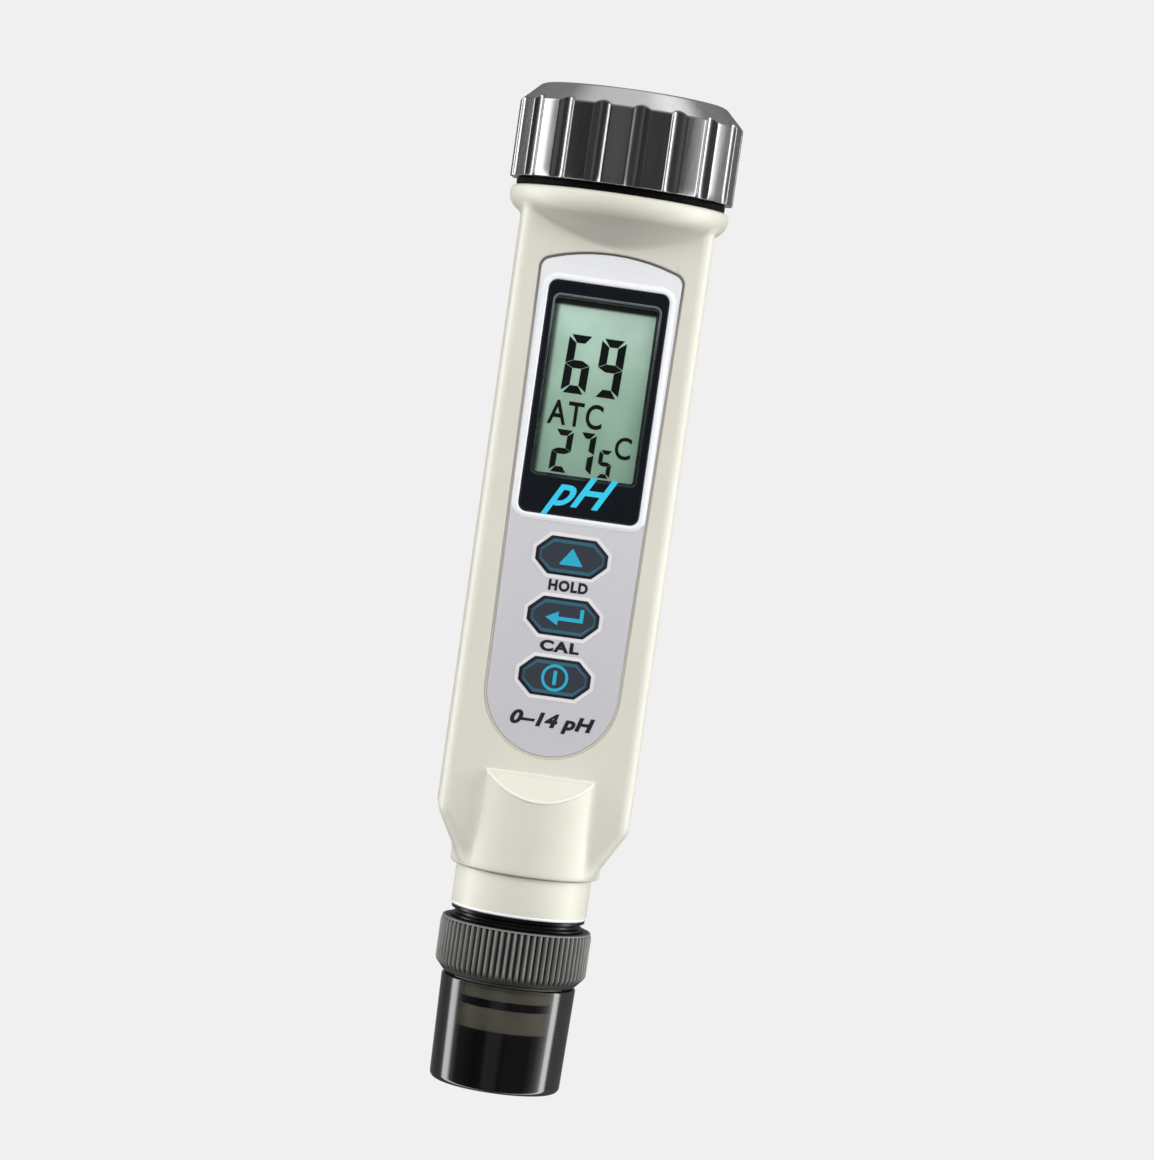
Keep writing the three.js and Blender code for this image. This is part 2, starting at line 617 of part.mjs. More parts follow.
function addBatteryEnd(housingGroup, contactGroup, capGroup) {
  const tray = piece("battery_tray", batteryTray(), "blackPlastic");
  tray.position.y = CELL.axisY;
  const disk = bar(BASE_CONTACT.radius, TRAY.floorTop + BASE_CONTACT.gap, CELL.low - BASE_CONTACT.gap, SMALL);
  const base = piece("battery_base_contact", disk, "steel");
  base.position.y = CELL.axisY;
  housingGroup.add(tray, base);
  for (let i = 0; i < CELL.count; i += 1) {
    const cell = piece("button_cell_" + (i + 1), buttonCell(), "steel");
    cell.position.set(0, CELL.axisY, CELL.low + i * CELL.pitch);
    housingGroup.add(cell);
  }
  const sealLow = FLANGE.top + SEATED;
  const { left, right, halfDepth } = SIDE_CONTACT;
  const blade = box(left, right, -halfDepth, halfDepth, BOARD.high + 0.6, CONTACT_PLATE.low - 0.1);
  housingGroup.add(
    piece("battery_side_contact", blade, "gold"),
    piece("cap_seal", ring(SEAL.bore, SEAL.radius, sealLow, sealLow + SEAL.thickness), "blackRubber"),
  );
  const plateTop = CONTACT_PLATE.low + CONTACT_PLATE.thickness;
  const spring = piece("battery_spring", batterySpring(), "steel");
  spring.position.set(0, CELL.axisY, CELL.low + CELL.count * CELL.pitch + 0.35);
  contactGroup.add(
    piece("cap_contact_plate", bar(CONTACT_PLATE.radius, CONTACT_PLATE.low, plateTop, 40), "gold"),
    spring,
  );
  capGroup.add(
    piece("battery_cap", batteryCap(), "chrome"),
    piece("cap_liner", capLiner(), "blackPlastic"),
  );
}

// ---------- electrode end ----------

const pinNumbers = Array.from({ length: PINS.count }, (_, i) => i);

// Where a contact pin stands, in X and Y.
function pinPlace(index) {
  const angle = Math.PI / 2 + index * 2 * Math.PI / PINS.count;
  return [PINS.circle * Math.cos(angle), PINS.circle * Math.sin(angle)];
}

// The groove that an O-ring lies in.
function sealGroove(seal, outerRadius) {
  const half = seal.cord + SEAL_PLAY;
  return ring(seal.circle - seal.cord - TOUCH, outerRadius + 1, seal.height - half, seal.height + half);
}

function endCollar() {
  const c = COLLAR;
  const sleeve = turned([
    [c.bore, c.base], [c.radius - c.edge, c.base], [c.radius, c.base + c.edge], [c.radius, c.top],
    [c.spigotRadius, c.top], [c.spigotRadius, c.spigotTop], [c.bore, c.spigotTop], [c.bore, c.base],
  ]);
  return cut(sleeve, sealGroove(COLLAR_SEAL, c.spigotRadius));
}

// The black socket: a threaded snout for the ring, a waist that shows, and a stem with a pin web inside.
function sensorSocket() {
  const s = SOCKET;
  const flangeTop = COLLAR.base - TOUCH;
  const stemBore = s.stemRadius - s.stemWall;
  const shell = turned([
    [0, s.webLow], [s.bore, s.webLow], [s.bore, s.base], [s.core, s.base], [s.core, s.bandLow],
    [s.bandRadius, s.bandLow], [s.bandRadius, s.bandHigh], [s.waistRadius, s.bandHigh + s.slope],
    [s.waistRadius, s.flangeLow - s.slope], [s.flangeRadius, s.flangeLow], [s.flangeRadius, flangeTop],
    [s.stemRadius, flangeTop], [s.stemRadius, s.top], [stemBore, s.top], [stemBore, s.webHigh],
    [0, s.webHigh],
  ]);
  const holes = pinNumbers.map((i) => {
    const hole = disc(CONTACTS.hole, ...pinPlace(i));
    return raised(hole, s.webLow - 1, s.webHigh + 1);
  });
  return cut(shell, ...holes);
}

function electrodeBody() {
  const e = ELECTRODE;
  const shell = turned([
    [0, e.spigotLow], [e.spigotRadius, e.spigotLow], [e.spigotRadius, e.shaftLow],
    [e.shaftRadius, e.shaftLow], [e.shaftRadius, e.bandLow], [e.bandRadius, e.bandLow + 0.1],
    [e.bandRadius, e.bandHigh], [e.shaftRadius, e.bandHigh + 0.1],
    [e.shaftRadius, e.flangeLow], [e.flangeRadius, e.flangeLow],
    [e.flangeRadius, e.plugLow], [e.plugRadius, e.plugLow], [e.plugRadius, e.plugTop], [0, e.plugTop],
  ]);
  const low = e.spigotLow - 1;
  const pinHoles = pinNumbers.map((i) => (
    raised(disc(PINS.radius + FIT, ...pinPlace(i)), PINS.low - 0.1, e.plugTop + 1, 4)
  ));
  return cut(
    shell,
    sealGroove(CAP_RING, e.bandRadius),
    sealGroove(PLUG_SEAL, e.plugRadius),
    bar(BULB.socketRadius, low, BULB.top + SOCKET_FLOOR_GAP, SMALL),
    raised(disc(JUNCTION.socketRadius, JUNCTION.x, 0), low, JUNCTION.high + SOCKET_FLOOR_GAP, 5),
    raised(disc(PROBE.socketRadius, PROBE.x, 0), low, PROBE.high + SOCKET_FLOOR_GAP, 5),
    ...pinHoles,
  );
}

function glassBulb() {
  const shoulder = Math.asin(BULB.stem / BULB.radius);
  const path = new THREE.Path();
  path.absarc(0, BULB.centre, BULB.radius, -Math.PI / 2, Math.PI / 2 - shoulder);
  path.lineTo(BULB.stem, BULB.top);
  path.lineTo(0, BULB.top);
  return turned(path, SMALL, 6);
}

// The cage round the bulb, open in four places.
function electrodeGuard() {
  const slot = (angle) => {
    const reach = GUARD.radius + 1;
    const made = new THREE.BoxGeometry(2 * reach, GUARD.slotWidth, GUARD.slotTop - GUARD.low + 1);
    made.translate(0, 0, (GUARD.low - 1 + GUARD.slotTop) / 2).rotateZ(angle);
    return solid(made);
  };
  return cut(
    ring(GUARD.bore, GUARD.radius, GUARD.low, GUARD.high),
    ...Array.from({ length: GUARD.slots }, (_, i) => slot(Math.PI / 4 + i * Math.PI / 2)),
  );
}

// The ribbed ring that pulls the electrode into its socket.
function lockRing() {
  const r = LOCK_RING;
  const points = [];
  for (let i = 0; i < r.ribs; i += 1) {
    const angle = (i / r.ribs) * 2 * Math.PI;
    const step = 2 * Math.PI / r.ribs;
    points.push([r.radius, angle], [r.radius - r.ribDepth, angle + step / 2]);
  }
  const corners = points.map(([radius, angle]) => [radius * Math.cos(angle), radius * Math.sin(angle)]);
  const envelope = turned([
    [0, r.base], [r.footRadius, r.base], [r.radius, r.chamferTop], [r.radius + 0.1, r.top - r.rim],
    [r.rimRadius, r.top - r.rim], [r.rimRadius, r.top], [0, r.top],
  ], 36);
  return cut(
    raised(outline(corners), r.base, r.top).intersect(envelope),
    bar(r.lipBore, r.base - 1, r.top + 1),
    bar(r.bore, r.lipTop, r.top + 1),
  );
}

function probeCap() {
  const c = PROBE_CAP;
  const path = new THREE.Path();
  path.moveTo(0, 0);
  path.lineTo(c.baseRadius - c.edge, 0);
  path.absarc(c.baseRadius - c.edge, c.edge, c.edge, -Math.PI / 2, 0);
  path.lineTo(c.topRadius, c.height);
  path.lineTo(c.topBore, c.height);
  path.lineTo(c.baseBore, c.floor);
  path.lineTo(0, c.floor);
  return turned(path, LARGE, 3);
}

function addElectrodeEnd(housingGroup, electrodeGroup, ringGroup, capGroup) {
  housingGroup.add(
    piece("end_collar", endCollar(), "whitePlastic"),
    piece("collar_seal", cordRing(COLLAR_SEAL.circle, COLLAR_SEAL.cord, COLLAR_SEAL.height), "blackRubber"),
    piece("sensor_socket", sensorSocket(), "blackPlastic"),
  );
  for (const i of pinNumbers) {
    const sleeve = ring(CONTACTS.bore, CONTACTS.radius, CONTACTS.low, CONTACTS.top, TINY);
    const contact = piece("socket_contact_" + (i + 1), sleeve, "gold");
    const pin = piece("electrode_pin_" + (i + 1), bar(PINS.radius, PINS.low, PINS.top, TINY), "gold");
    [contact, pin].forEach((mesh) => mesh.position.set(...pinPlace(i), 0));
    housingGroup.add(contact);
    electrodeGroup.add(pin);
  }
  const plug = bar(JUNCTION.radius, JUNCTION.low, JUNCTION.high, TINY);
  const junction = piece("reference_junction", plug, "ceramic");
  junction.position.x = JUNCTION.x;
  const probe = piece("temperature_probe", bar(PROBE.radius, PROBE.low, PROBE.high, TINY), "steel");
  probe.position.x = PROBE.x;
  electrodeGroup.add(
    piece("electrode_body", electrodeBody(), "blackPlastic"),
    piece("electrode_guard", electrodeGuard(), "blackPlastic"),
    piece("glass_bulb", glassBulb(), "clearPlastic"),
    piece("plug_seal", cordRing(PLUG_SEAL.circle, PLUG_SEAL.cord, PLUG_SEAL.height), "blackRubber"),
    piece("cap_ring", cordRing(CAP_RING.circle, CAP_RING.cord, CAP_RING.height), "blackRubber"),
    junction,
    probe,
  );
  ringGroup.add(piece("lock_ring", lockRing(), "greyPlastic"));
  capGroup.add(
    piece("probe_cap", probeCap(), "smokedPlastic"),
    piece("storage_sponge", bar(SPONGE.radius, SPONGE.low, SPONGE.high), "sponge"),
  );
}

// ---------- keys ----------

// A keycap with a flange that keeps it behind the wall.
function keycap() {
  const front = frontY - KEYS.proud;
  const flangeFront = innerFrontY + KEYS.behindWall;
  return join(
    plate(keyOutline(0), front, flangeFront + 0.1),
    plate(keyOutline(KEYS.flangeLip), flangeFront, flangeFront + KEYS.flange),
  );
}

function keyGroups() {
  return KEYS.names.map((name, i) => {
    const group = new THREE.Group();
    const cap = piece("key_" + name, keycap(), "darkKey");
    cap.position.z = keyHeights[i];
    group.add(cap);
    return group;
  });
}

// ---------- assembly ----------

const meter = new THREE.Group();
const fixed = new THREE.Group();
const capContact = new THREE.Group();
const topCap = new THREE.Group();
const electrode = new THREE.Group();
const ringTurn = new THREE.Group();
const bottomCap = new THREE.Group();
meter.add(fixed, capContact, electrode, ...keyGroups());
capContact.add(topCap);
electrode.add(ringTurn, bottomCap);

fixed.add(piece("housing", housing(), "whitePlastic"));
addDisplay(fixed);
addElectronics(fixed);
addBatteryEnd(fixed, capContact, topCap);
addElectrodeEnd(fixed, electrode, ringTurn, bottomCap);

export default meter;
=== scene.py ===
"""The looks of a pen-type pH meter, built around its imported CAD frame.

Units are metres. Z is the pen's long axis, 0 at the storage cap's base, and the display faces -Y.
Every piece takes its place from the frame's boxes; lengths given in millimetres are multiplied by MM.
"""

import functools
import json
import math

import bmesh
import bpy
import numpy as np
from mathutils import Matrix, Vector

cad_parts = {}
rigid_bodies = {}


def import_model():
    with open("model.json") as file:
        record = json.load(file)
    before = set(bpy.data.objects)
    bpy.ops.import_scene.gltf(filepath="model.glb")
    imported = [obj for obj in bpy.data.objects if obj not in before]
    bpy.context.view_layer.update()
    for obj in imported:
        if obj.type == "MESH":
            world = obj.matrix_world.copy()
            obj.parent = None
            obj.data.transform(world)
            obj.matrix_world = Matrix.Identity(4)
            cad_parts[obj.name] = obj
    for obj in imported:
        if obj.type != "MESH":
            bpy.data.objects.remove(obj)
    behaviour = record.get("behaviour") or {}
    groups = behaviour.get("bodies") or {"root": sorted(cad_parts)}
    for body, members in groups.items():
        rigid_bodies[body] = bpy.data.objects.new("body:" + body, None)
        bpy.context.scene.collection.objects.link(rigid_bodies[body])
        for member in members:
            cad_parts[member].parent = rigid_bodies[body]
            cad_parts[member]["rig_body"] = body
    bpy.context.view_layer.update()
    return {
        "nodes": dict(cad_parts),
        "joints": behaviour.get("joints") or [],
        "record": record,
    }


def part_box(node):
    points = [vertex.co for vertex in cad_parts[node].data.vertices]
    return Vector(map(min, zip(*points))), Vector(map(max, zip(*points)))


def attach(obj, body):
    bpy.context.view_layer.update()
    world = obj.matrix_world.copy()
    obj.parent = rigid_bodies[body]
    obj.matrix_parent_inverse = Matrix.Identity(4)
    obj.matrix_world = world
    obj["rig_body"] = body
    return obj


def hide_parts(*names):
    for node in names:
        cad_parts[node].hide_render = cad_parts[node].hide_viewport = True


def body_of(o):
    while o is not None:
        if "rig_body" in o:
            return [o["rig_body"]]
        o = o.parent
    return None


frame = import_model()

MM = 0.001
KEYS = ["key_hold", "key_cal", "key_power"]
ROUND = 192  # points round a large turned piece
FINE = 96  # points round a small turned piece


# ---------- reading the frame ----------


@functools.cache
def place(node):
    """A node's lowest and highest corner in millimetres."""
    low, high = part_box(node)
    return low / MM, high / MM


@functools.cache
def section(node, axis, at):
    """The box of a node's cross-section where a plane across one axis cuts it, in millimetres."""
    mesh = frame["nodes"][node].data
    points = np.array([v.co for v in mesh.vertices]) / MM
    ends = points[np.array([e.vertices[:] for e in mesh.edges])]
    first, second = ends[:, 0], ends[:, 1]
    crossing = (first[:, axis] - at) * (second[:, axis] - at) < 0
    first, second = first[crossing], second[crossing]
    share = (at - first[:, axis]) / (second[:, axis] - first[:, axis])
    cuts = first + (second - first) * share[:, None]
    return cuts.min(0), cuts.max(0)


def radius_at(node, height):
    """How far a node reaches to the pen's right at a height, which is a turned node's radius."""
    return section(node, 2, height)[1][0]


def radius_of(node):
    """A turned node's largest radius."""
    return place(node)[1][0]


def front_of(node):
    return place(node)[0][1]


def depths(node):
    """The depths of a node's front and back."""
    low, high = place(node)
    return low[1], high[1]


def foot_of(node):
    return place(node)[0][2]


def top_of(node):
    return place(node)[1][2]


def extent(node):
    """A turned node's largest radius and the heights of its foot and top."""
    return radius_of(node), foot_of(node), top_of(node)


def neck_radius():
    """The radius of the housing's neck, which the battery cap screws onto."""
    return radius_at("housing", top_of("housing") - 1)


def body_section():
    """The box of the flat body's cross-section, half way up."""
    return section("housing", 2, (TAPER_TOP + CONE_FOOT) / 2)


SLOTS = {entry["node"]: entry["material_slot"] for entry in frame["record"]["subparts"]}


def wear(piece, material, node, replace=True):
    """Gives a piece its material. It moves with a CAD node's body and is shown instead of the node,
    unless replace is off."""
    piece.data.materials.clear()
    piece.data.materials.append(MATERIALS[material])
    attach(piece, body_of(frame["nodes"][node])[0])
    if replace:
        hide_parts(node)
    return piece


# ---------- mesh tools ----------


def linked(name, mesh):
    piece = bpy.data.objects.new(name, mesh)
    bpy.context.scene.collection.objects.link(piece)
    return piece


def smooth(mesh, sharp_degrees=35):
    for polygon in mesh.polygons:
        polygon.use_smooth = True
    mesh.set_sharp_from_angle(angle=math.radians(sharp_degrees))


def skin(name, rows, loop=False, sharp_degrees=35):
    """A closed mesh through rows of points in millimetres, each row a closed ring of as many points.
    With loop, the last row joins the first; otherwise both end rows are capped."""
    rows = np.asarray(rows, float)
    count, columns = rows.shape[:2]
    points = (rows.reshape(-1, 3) * MM).tolist()
    faces = []
    for r in range(count if loop else count - 1):
        this, above = r * columns, (r + 1) % count * columns
        for c in range(columns):
            n = (c + 1) % columns
            faces.append((this + c, this + n, above + n, above + c))
    if not loop:
        faces.append(tuple(range(columns)))
        faces.append(tuple((count - 1) * columns + c for c in range(columns)))
    mesh = bpy.data.meshes.new(name)
    mesh.from_pydata(points, [], faces)
    tidy(mesh)
    smooth(mesh, sharp_degrees)
    return linked(name, mesh)


def tidy(mesh):
    """Merges doubled points, drops faces with no area and turns the rest outwards."""
    work = bmesh.new()
    work.from_mesh(mesh)
    bmesh.ops.remove_doubles(work, verts=work.verts, dist=1e-7)
    bmesh.ops.dissolve_degenerate(work, edges=work.edges, dist=1e-8)
    bmesh.ops.recalc_face_normals(work, faces=work.faces)
    work.to_mesh(mesh)
    work.free()


def joined(name, pieces):
    """Several pieces' meshes as one piece."""
    work = bmesh.new()
    for piece in pieces:
        part = piece.data.copy()
        part.transform(piece.matrix_world)
        work.from_mesh(part)
        bpy.data.meshes.remove(part)
        bpy.data.objects.remove(piece)
    mesh = bpy.data.meshes.new(name)
    work.to_mesh(mesh)
    work.free()
    return linked(name, mesh)


def evaluated_mesh(piece):
    """A piece's mesh with its modifiers applied."""
    bpy.context.view_layer.update()
    return bpy.data.meshes.new_from_object(piece.evaluated_get(bpy.context.evaluated_depsgraph_get()))


def cut_away(piece, cutters):
    """Cuts closed pieces out of a piece and removes them."""
    for cutter in cutters:
        modifier = piece.modifiers.new("cut", "BOOLEAN")
        modifier.operation = "DIFFERENCE"
        modifier.solver = "EXACT"
        modifier.object = cutter
    cut = evaluated_mesh(piece)
    piece.modifiers.clear()
    piece.data = cut
    for cutter in cutters:
        bpy.data.objects.remove(cutter)
    smooth(cut)
    return piece


def rounded(corners, closed=False, steps=6):
    """A polyline through (across, up, radius) corners, each rounded by an arc of its radius."""
    points = []
    last = len(corners) - 1
    for i, (x, y, radius) in enumerate(corners):
        here = Vector((x, y))
        if radius <= 0 or (not closed and i in (0, last)):
            points.append(here)
            continue
        before = (Vector(corners[i - 1][:2]) - here).normalized()
        after = (Vector(corners[(i + 1) % len(corners)][:2]) - here).normalized()
        half = before.angle(after) / 2
        centre = here + (before + after).normalized() * (radius / math.sin(half))
        start = here + before * (radius / math.tan(half)) - centre
        turn = start.angle_signed(here + after * (radius / math.tan(half)) - centre)
        points += [centre + Matrix.Rotation(-turn * k / steps, 2) @ start for k in range(steps + 1)]
    return [(p.x, p.y) for p in points]


def turn_angles(count):
    return np.linspace(0, 2 * np.pi, count, endpoint=False)


def directions(angles):
    return np.stack([np.cos(angles), np.sin(angles)], 1)


def from_front(angles):
    """Directions at angles from the front, positive to the pen's right."""
    return np.stack([np.sin(angles), -np.cos(angles)], 1)


def level_row(ring, reach, height):
    """A level row of points, each at its reach from the pen's axis along a ring's directions."""
    reach = np.broadcast_to(reach, len(ring))
    return np.column_stack([ring * reach[:, None], np.full(len(ring), height)])


def turned(name, profile, loop=False, count=ROUND, sharp_degrees=35, centre=(0, 0)):
    """A profile of (radius, height) points turned about a vertical axis."""
    ring = directions(turn_angles(count))
    offset = np.array([*centre, 0])
    rows = [level_row(ring, max(radius, 1e-3), height) + offset for radius, height in profile]
    return skin(name, rows, loop, sharp_degrees)


def lathe(name, material, node, corners, closed=False, steps=6, **more):
    """Turns and wears a profile of (radius, height, rounding) corners."""
    return wear(turned(name, rounded(corners, closed, steps), closed, **more), material, node)


def cord_ring(name, circle, height, cord_radius):
    """A ring with a round section."""
    profile = directions(turn_angles(16)) * cord_radius + (circle, height)
    return turned(name, profile, loop=True, sharp_degrees=80)


def standing(outline, y):
    """An outline in X and Z as a row of points at depth y."""
    outline = np.asarray(outline, float)
    return np.column_stack([outline[:, 0], np.full(len(outline), y), outline[:, 1]])


def slab(name, levels):
    """A plate facing -Y, through (y, outline) levels."""
    return skin(name, [standing(outline, y) for y, outline in levels])


def plate(name, outline, start, end):
    """A flat plate facing -Y, from one depth to another."""
    return slab(name, [(start, outline), (end, outline)])


def band(name, outline, profile, sharp_degrees=35):
    """A closed band on the face: an outline moved outwards and back by each (grow, y) of a profile."""
    return skin(name, [standing(outline(grow), y) for grow, y in profile], True, sharp_degrees)


def lettering(text, height, centre, y, depth, slant=0.0, bold=0.0, width=None, spacing=1.0):
    """Closed raised letters in the built-in font, facing -Y, fitted to a height and, if given, a width."""
    curve = bpy.data.curves.new("letters", "FONT")
    curve.body = text
    curve.shear = slant
    curve.offset = bold
    curve.space_character = spacing
    curve.extrude = 0.5
    curve.resolution_u = 6
    source = linked("letters_source", curve)
    mesh = evaluated_mesh(source)
    bpy.data.objects.remove(source)
    points = np.array([v.co for v in mesh.vertices])
    low, high = points.min(0), points.max(0)
    scale_up = height / (high[1] - low[1])
    scale_across = width / (high[0] - low[0]) if width else scale_up
    middle = (low + high) / 2
    placed = (points - middle) * np.array([scale_across, scale_up, depth])
    across, up, out = placed[:, 0] + centre[0], placed[:, 1] + centre[1], placed[:, 2] + depth / 2
    stood = np.column_stack([across, y - out, up]) * MM
    mesh.vertices.foreach_set("co", stood.astype(np.float32).ravel())
    tidy(mesh)
    mesh.materials.clear()
    return linked("letters", mesh)


# ---------- materials ----------


class Nodes:
    """A node tree made readable: each call adds a shader node and returns one of its outputs."""

    def __init__(self, owner):
        owner.use_nodes = True
        self.tree = owner.node_tree

    def add(self, kind, inputs=(), output=0, **settings):
        node = self.tree.nodes.new("ShaderNode" + kind)
        for key, value in settings.items():
            setattr(node, key, value)
        for key, value in dict(inputs).items():
            self.feed(node.inputs[key], value)
        return None if output is None else node.outputs[output]

    def feed(self, socket, value):
        if isinstance(value, bpy.types.NodeSocket):
            self.tree.links.new(value, socket)
        else:
            socket.default_value = value

    def share(self, value, start, end, low=0.0, high=1.0, soft=False):
        """Low up to one value, high from another on, and even or soft steps between."""
        limits = {"Value": value, "From Min": start, "From Max": end, "To Min": low, "To Max": high}
        kind = "SMOOTHSTEP" if soft else "LINEAR"
        return self.add("MapRange", limits, interpolation_type=kind)

    def math(self, operation, first, second, **settings):
        return self.add("Math", {0: first, 1: second}, operation=operation, **settings)

    def times(self, colour, factor):
        """A colour or vector multiplied by a number or by another one."""
        return self.add("VectorMath", {0: colour, 1: factor}, operation="MULTIPLY")

    def mix(self, share, first, second):
        """One colour, the other or a blend of both."""
        return self.add("Mix", {0: share, 6: first, 7: second}, output=2, data_type="RGBA")

    def ramp(self, factor, stops):
        node = self.tree.nodes.new("ShaderNodeValToRGB")
        while len(node.color_ramp.elements) < len(stops):
            node.color_ramp.elements.new(0.5)
        for element, (position, colour) in zip(node.color_ramp.elements, stops):
            element.position = position
            element.color = colour
        self.feed(node.inputs["Fac"], factor)
        return node.outputs["Color"]


class Finish(Nodes):
    """The node tree of a new material."""

    def __init__(self, name):
        self.material = bpy.data.materials.new(name)
        super().__init__(self.material)
        self.shader = self.tree.nodes["Principled BSDF"]
        self.output = self.tree.nodes["Material Output"]

    def place(self):
        return self.add("TexCoord", output="Object")

    def noise(self, scale, detail=3.0, roughness=0.5, stretch=None):
        where = self.place()
        if stretch:
            where = self.add("Mapping", {"Vector": where, "Scale": stretch})
        return self.add(
            "TexNoise",
            {"Vector": where, "Scale": scale, "Detail": detail, "Roughness": roughness},
        )

    def vary(self, noise, low, high):
        """A noise spread between two values."""
        return self.share(noise, 0.3, 0.7, low, high)

    def height(self, low, high):
        """0 at one height and 1 at another, in millimetres along Z."""
        z = self.add("SeparateXYZ", {"Vector": self.place()}, output="Z")
        return self.share(z, low * MM, high * MM)

    def finish(self, colour, roughness, bump=None, bump_height=0.00002, **more):
        self.feed(self.shader.inputs["Base Color"], colour)
        self.feed(self.shader.inputs["Roughness"], roughness)
        if bump is not None:
            normal = self.add("Bump", {"Height": bump, "Strength": 0.5, "Distance": bump_height})
            self.feed(self.shader.inputs["Normal"], normal)
        for key, value in more.items():
            self.feed(self.shader.inputs[key.replace("_", " ")], value)
        return self.material

    def grained(self, colour, scale, roughness, bump_height, **more):
        """Finishes with a fine grain that also makes the gloss uneven between two roughnesses."""
        grain = self.noise(scale, 2)
        return self.finish(colour, self.vary(grain, *roughness), grain, bump_height, **more)


def srgb(red, green, blue, alpha=1.0):
    """An 8-bit screen colour as linear values."""
    def linear(value):
        share = value / 255
        return share / 12.92 if share <= 0.04045 else ((share + 0.055) / 1.055) ** 2.4

    return linear(red), linear(green), linear(blue), alpha


def around(colour, change):
    """Two colours a little darker and lighter than one."""
    dark = tuple(c * (1 - change) for c in colour[:3]) + (1.0,)
    light = tuple(min(1.0, c * (1 + change)) for c in colour[:3]) + (1.0,)
    return dark, light


def moulded(name, colour, roughness, change=0.02, grain=2600, bump_height=0.000012, **more):
    """Moulded plastic or rubber: faint cloudiness, a fine surface grain and uneven gloss."""
    nodes = Finish(name)
    dark, light = around(colour, change)
    cloud = nodes.noise(60, 4)
    tint = nodes.ramp(cloud, [(0.35, dark), (0.65, light)])
    gloss = nodes.vary(nodes.noise(240, 3), roughness * 0.85, roughness * 1.15)
    return nodes.finish(tint, gloss, nodes.noise(grain, 2), bump_height, **more)


def metal(name, colour, roughness, stretch=None, change=0.06):
    """Plated or brushed metal: streaks along one axis and slightly uneven polish."""
    nodes = Finish(name)
    dark, light = around(colour, change)
    streaks = nodes.noise(900, 4, 0.6, stretch)
    tint = nodes.ramp(streaks, [(0.3, dark), (0.7, light)])
    gloss = nodes.vary(streaks, roughness * 0.8, roughness * 1.3)
    return nodes.finish(tint, gloss, streaks, 0.000004, Metallic=1.0)


def clear(name, face_tint, edge_tint, turn, gloss, roughness=0.03, dark_below=None):
    """A thin clear or smoked moulding. Its tint deepens as the surface turns away from the viewer, and
    below a height if one is given, and it reflects on the outside only."""
    nodes = Finish(name)
    nodes.tree.nodes.remove(nodes.shader)
    facing = nodes.add("LayerWeight", {"Blend": 0.5}, output="Facing")
    colour = nodes.mix(nodes.share(facing, *turn, soft=True), face_tint, edge_tint)
    cloud = nodes.vary(nodes.noise(140, 3), 0.97, 1.03)
    if dark_below is not None:
        depth = nodes.share(nodes.height(dark_below - 0.4, dark_below + 0.4), 0, 1, 0.12, 1)
        cloud = nodes.math("MULTIPLY", cloud, depth)
    through = nodes.add("BsdfTransparent", {"Color": nodes.times(colour, cloud)})
    bump = nodes.add("Bump", {"Height": nodes.noise(500, 2), "Strength": 0.2, "Distance": 0.00001})
    shine = nodes.add("BsdfGlossy", {"Color": (1, 1, 1, 1), "Roughness": roughness, "Normal": bump})
    fresnel = nodes.add("Fresnel", {"IOR": 1.49, "Normal": bump})
    outside = nodes.share(nodes.add("NewGeometry", output="Backfacing"), 0, 1, 1, 0)
    strength = nodes.math("MULTIPLY", nodes.math("ADD", fresnel, gloss, use_clamp=True), outside)
    mixed = nodes.add("MixShader", {"Fac": strength, 1: through, 2: shine})
    nodes.feed(nodes.output.inputs["Surface"], mixed)
    return nodes.material


def smoked_plastic():
    """The storage cap's smoke-tinted plastic, as good as opaque round the liquid in its lower half."""
    face_tint, edge_tint = (0.74, 0.73, 0.7, 1), (0.05, 0.05, 0.048, 1)
    liquid = top_of("electrode_guard") - 0.2
    return clear(
        "smoked_plastic", face_tint, edge_tint, (0.14, 0.48), gloss=0.08, roughness=0.1, dark_below=liquid
    )


# ---------- outlines, as (x, z) points in millimetres ----------

KEY_FLAT = (0.616, 0.313)  # the share of a key's width and height that its straight sides take
LABEL_END = 0.929  # the label's half-round end as a share of its half width
LABEL_ARCH = 2.4  # how far the label's top edge rises to its middle
LABEL_CORNER = 1.8
FRAME_CORNER = 1.45  # the black frame's corners


def rounded_rectangle(left, low, right, high, radius, steps=8):
    corners = [(left, low, radius), (right, low, radius), (right, high, radius), (left, high, radius)]
    return rounded(corners, closed=True, steps=steps)


def grown_rectangle(low, high, radius, grow):
    """A rounded rectangle round a box's front, moved outwards by grow."""
    return rounded_rectangle(
        low[0] - grow, low[2] - grow, high[0] + grow, high[2] + grow, radius + grow
    )


def octagon(width, height, centre, grow, radius=0.3):
    """A long octagon with slightly eased corners, moved outwards by grow."""
    x, z = width / 2 + grow, height / 2 + grow
    flat_x, flat_z = width / 2 * KEY_FLAT[0] + 0.4 * grow, height / 2 * KEY_FLAT[1] + 0.4 * grow
    corners = [
        (x, -flat_z), (x, flat_z), (flat_x, z), (-flat_x, z),
        (-x, flat_z), (-x, -flat_z), (-flat_x, -z), (flat_x, -z),
    ]
    return rounded([(a, b + centre, radius) for a, b in corners], closed=True, steps=3)


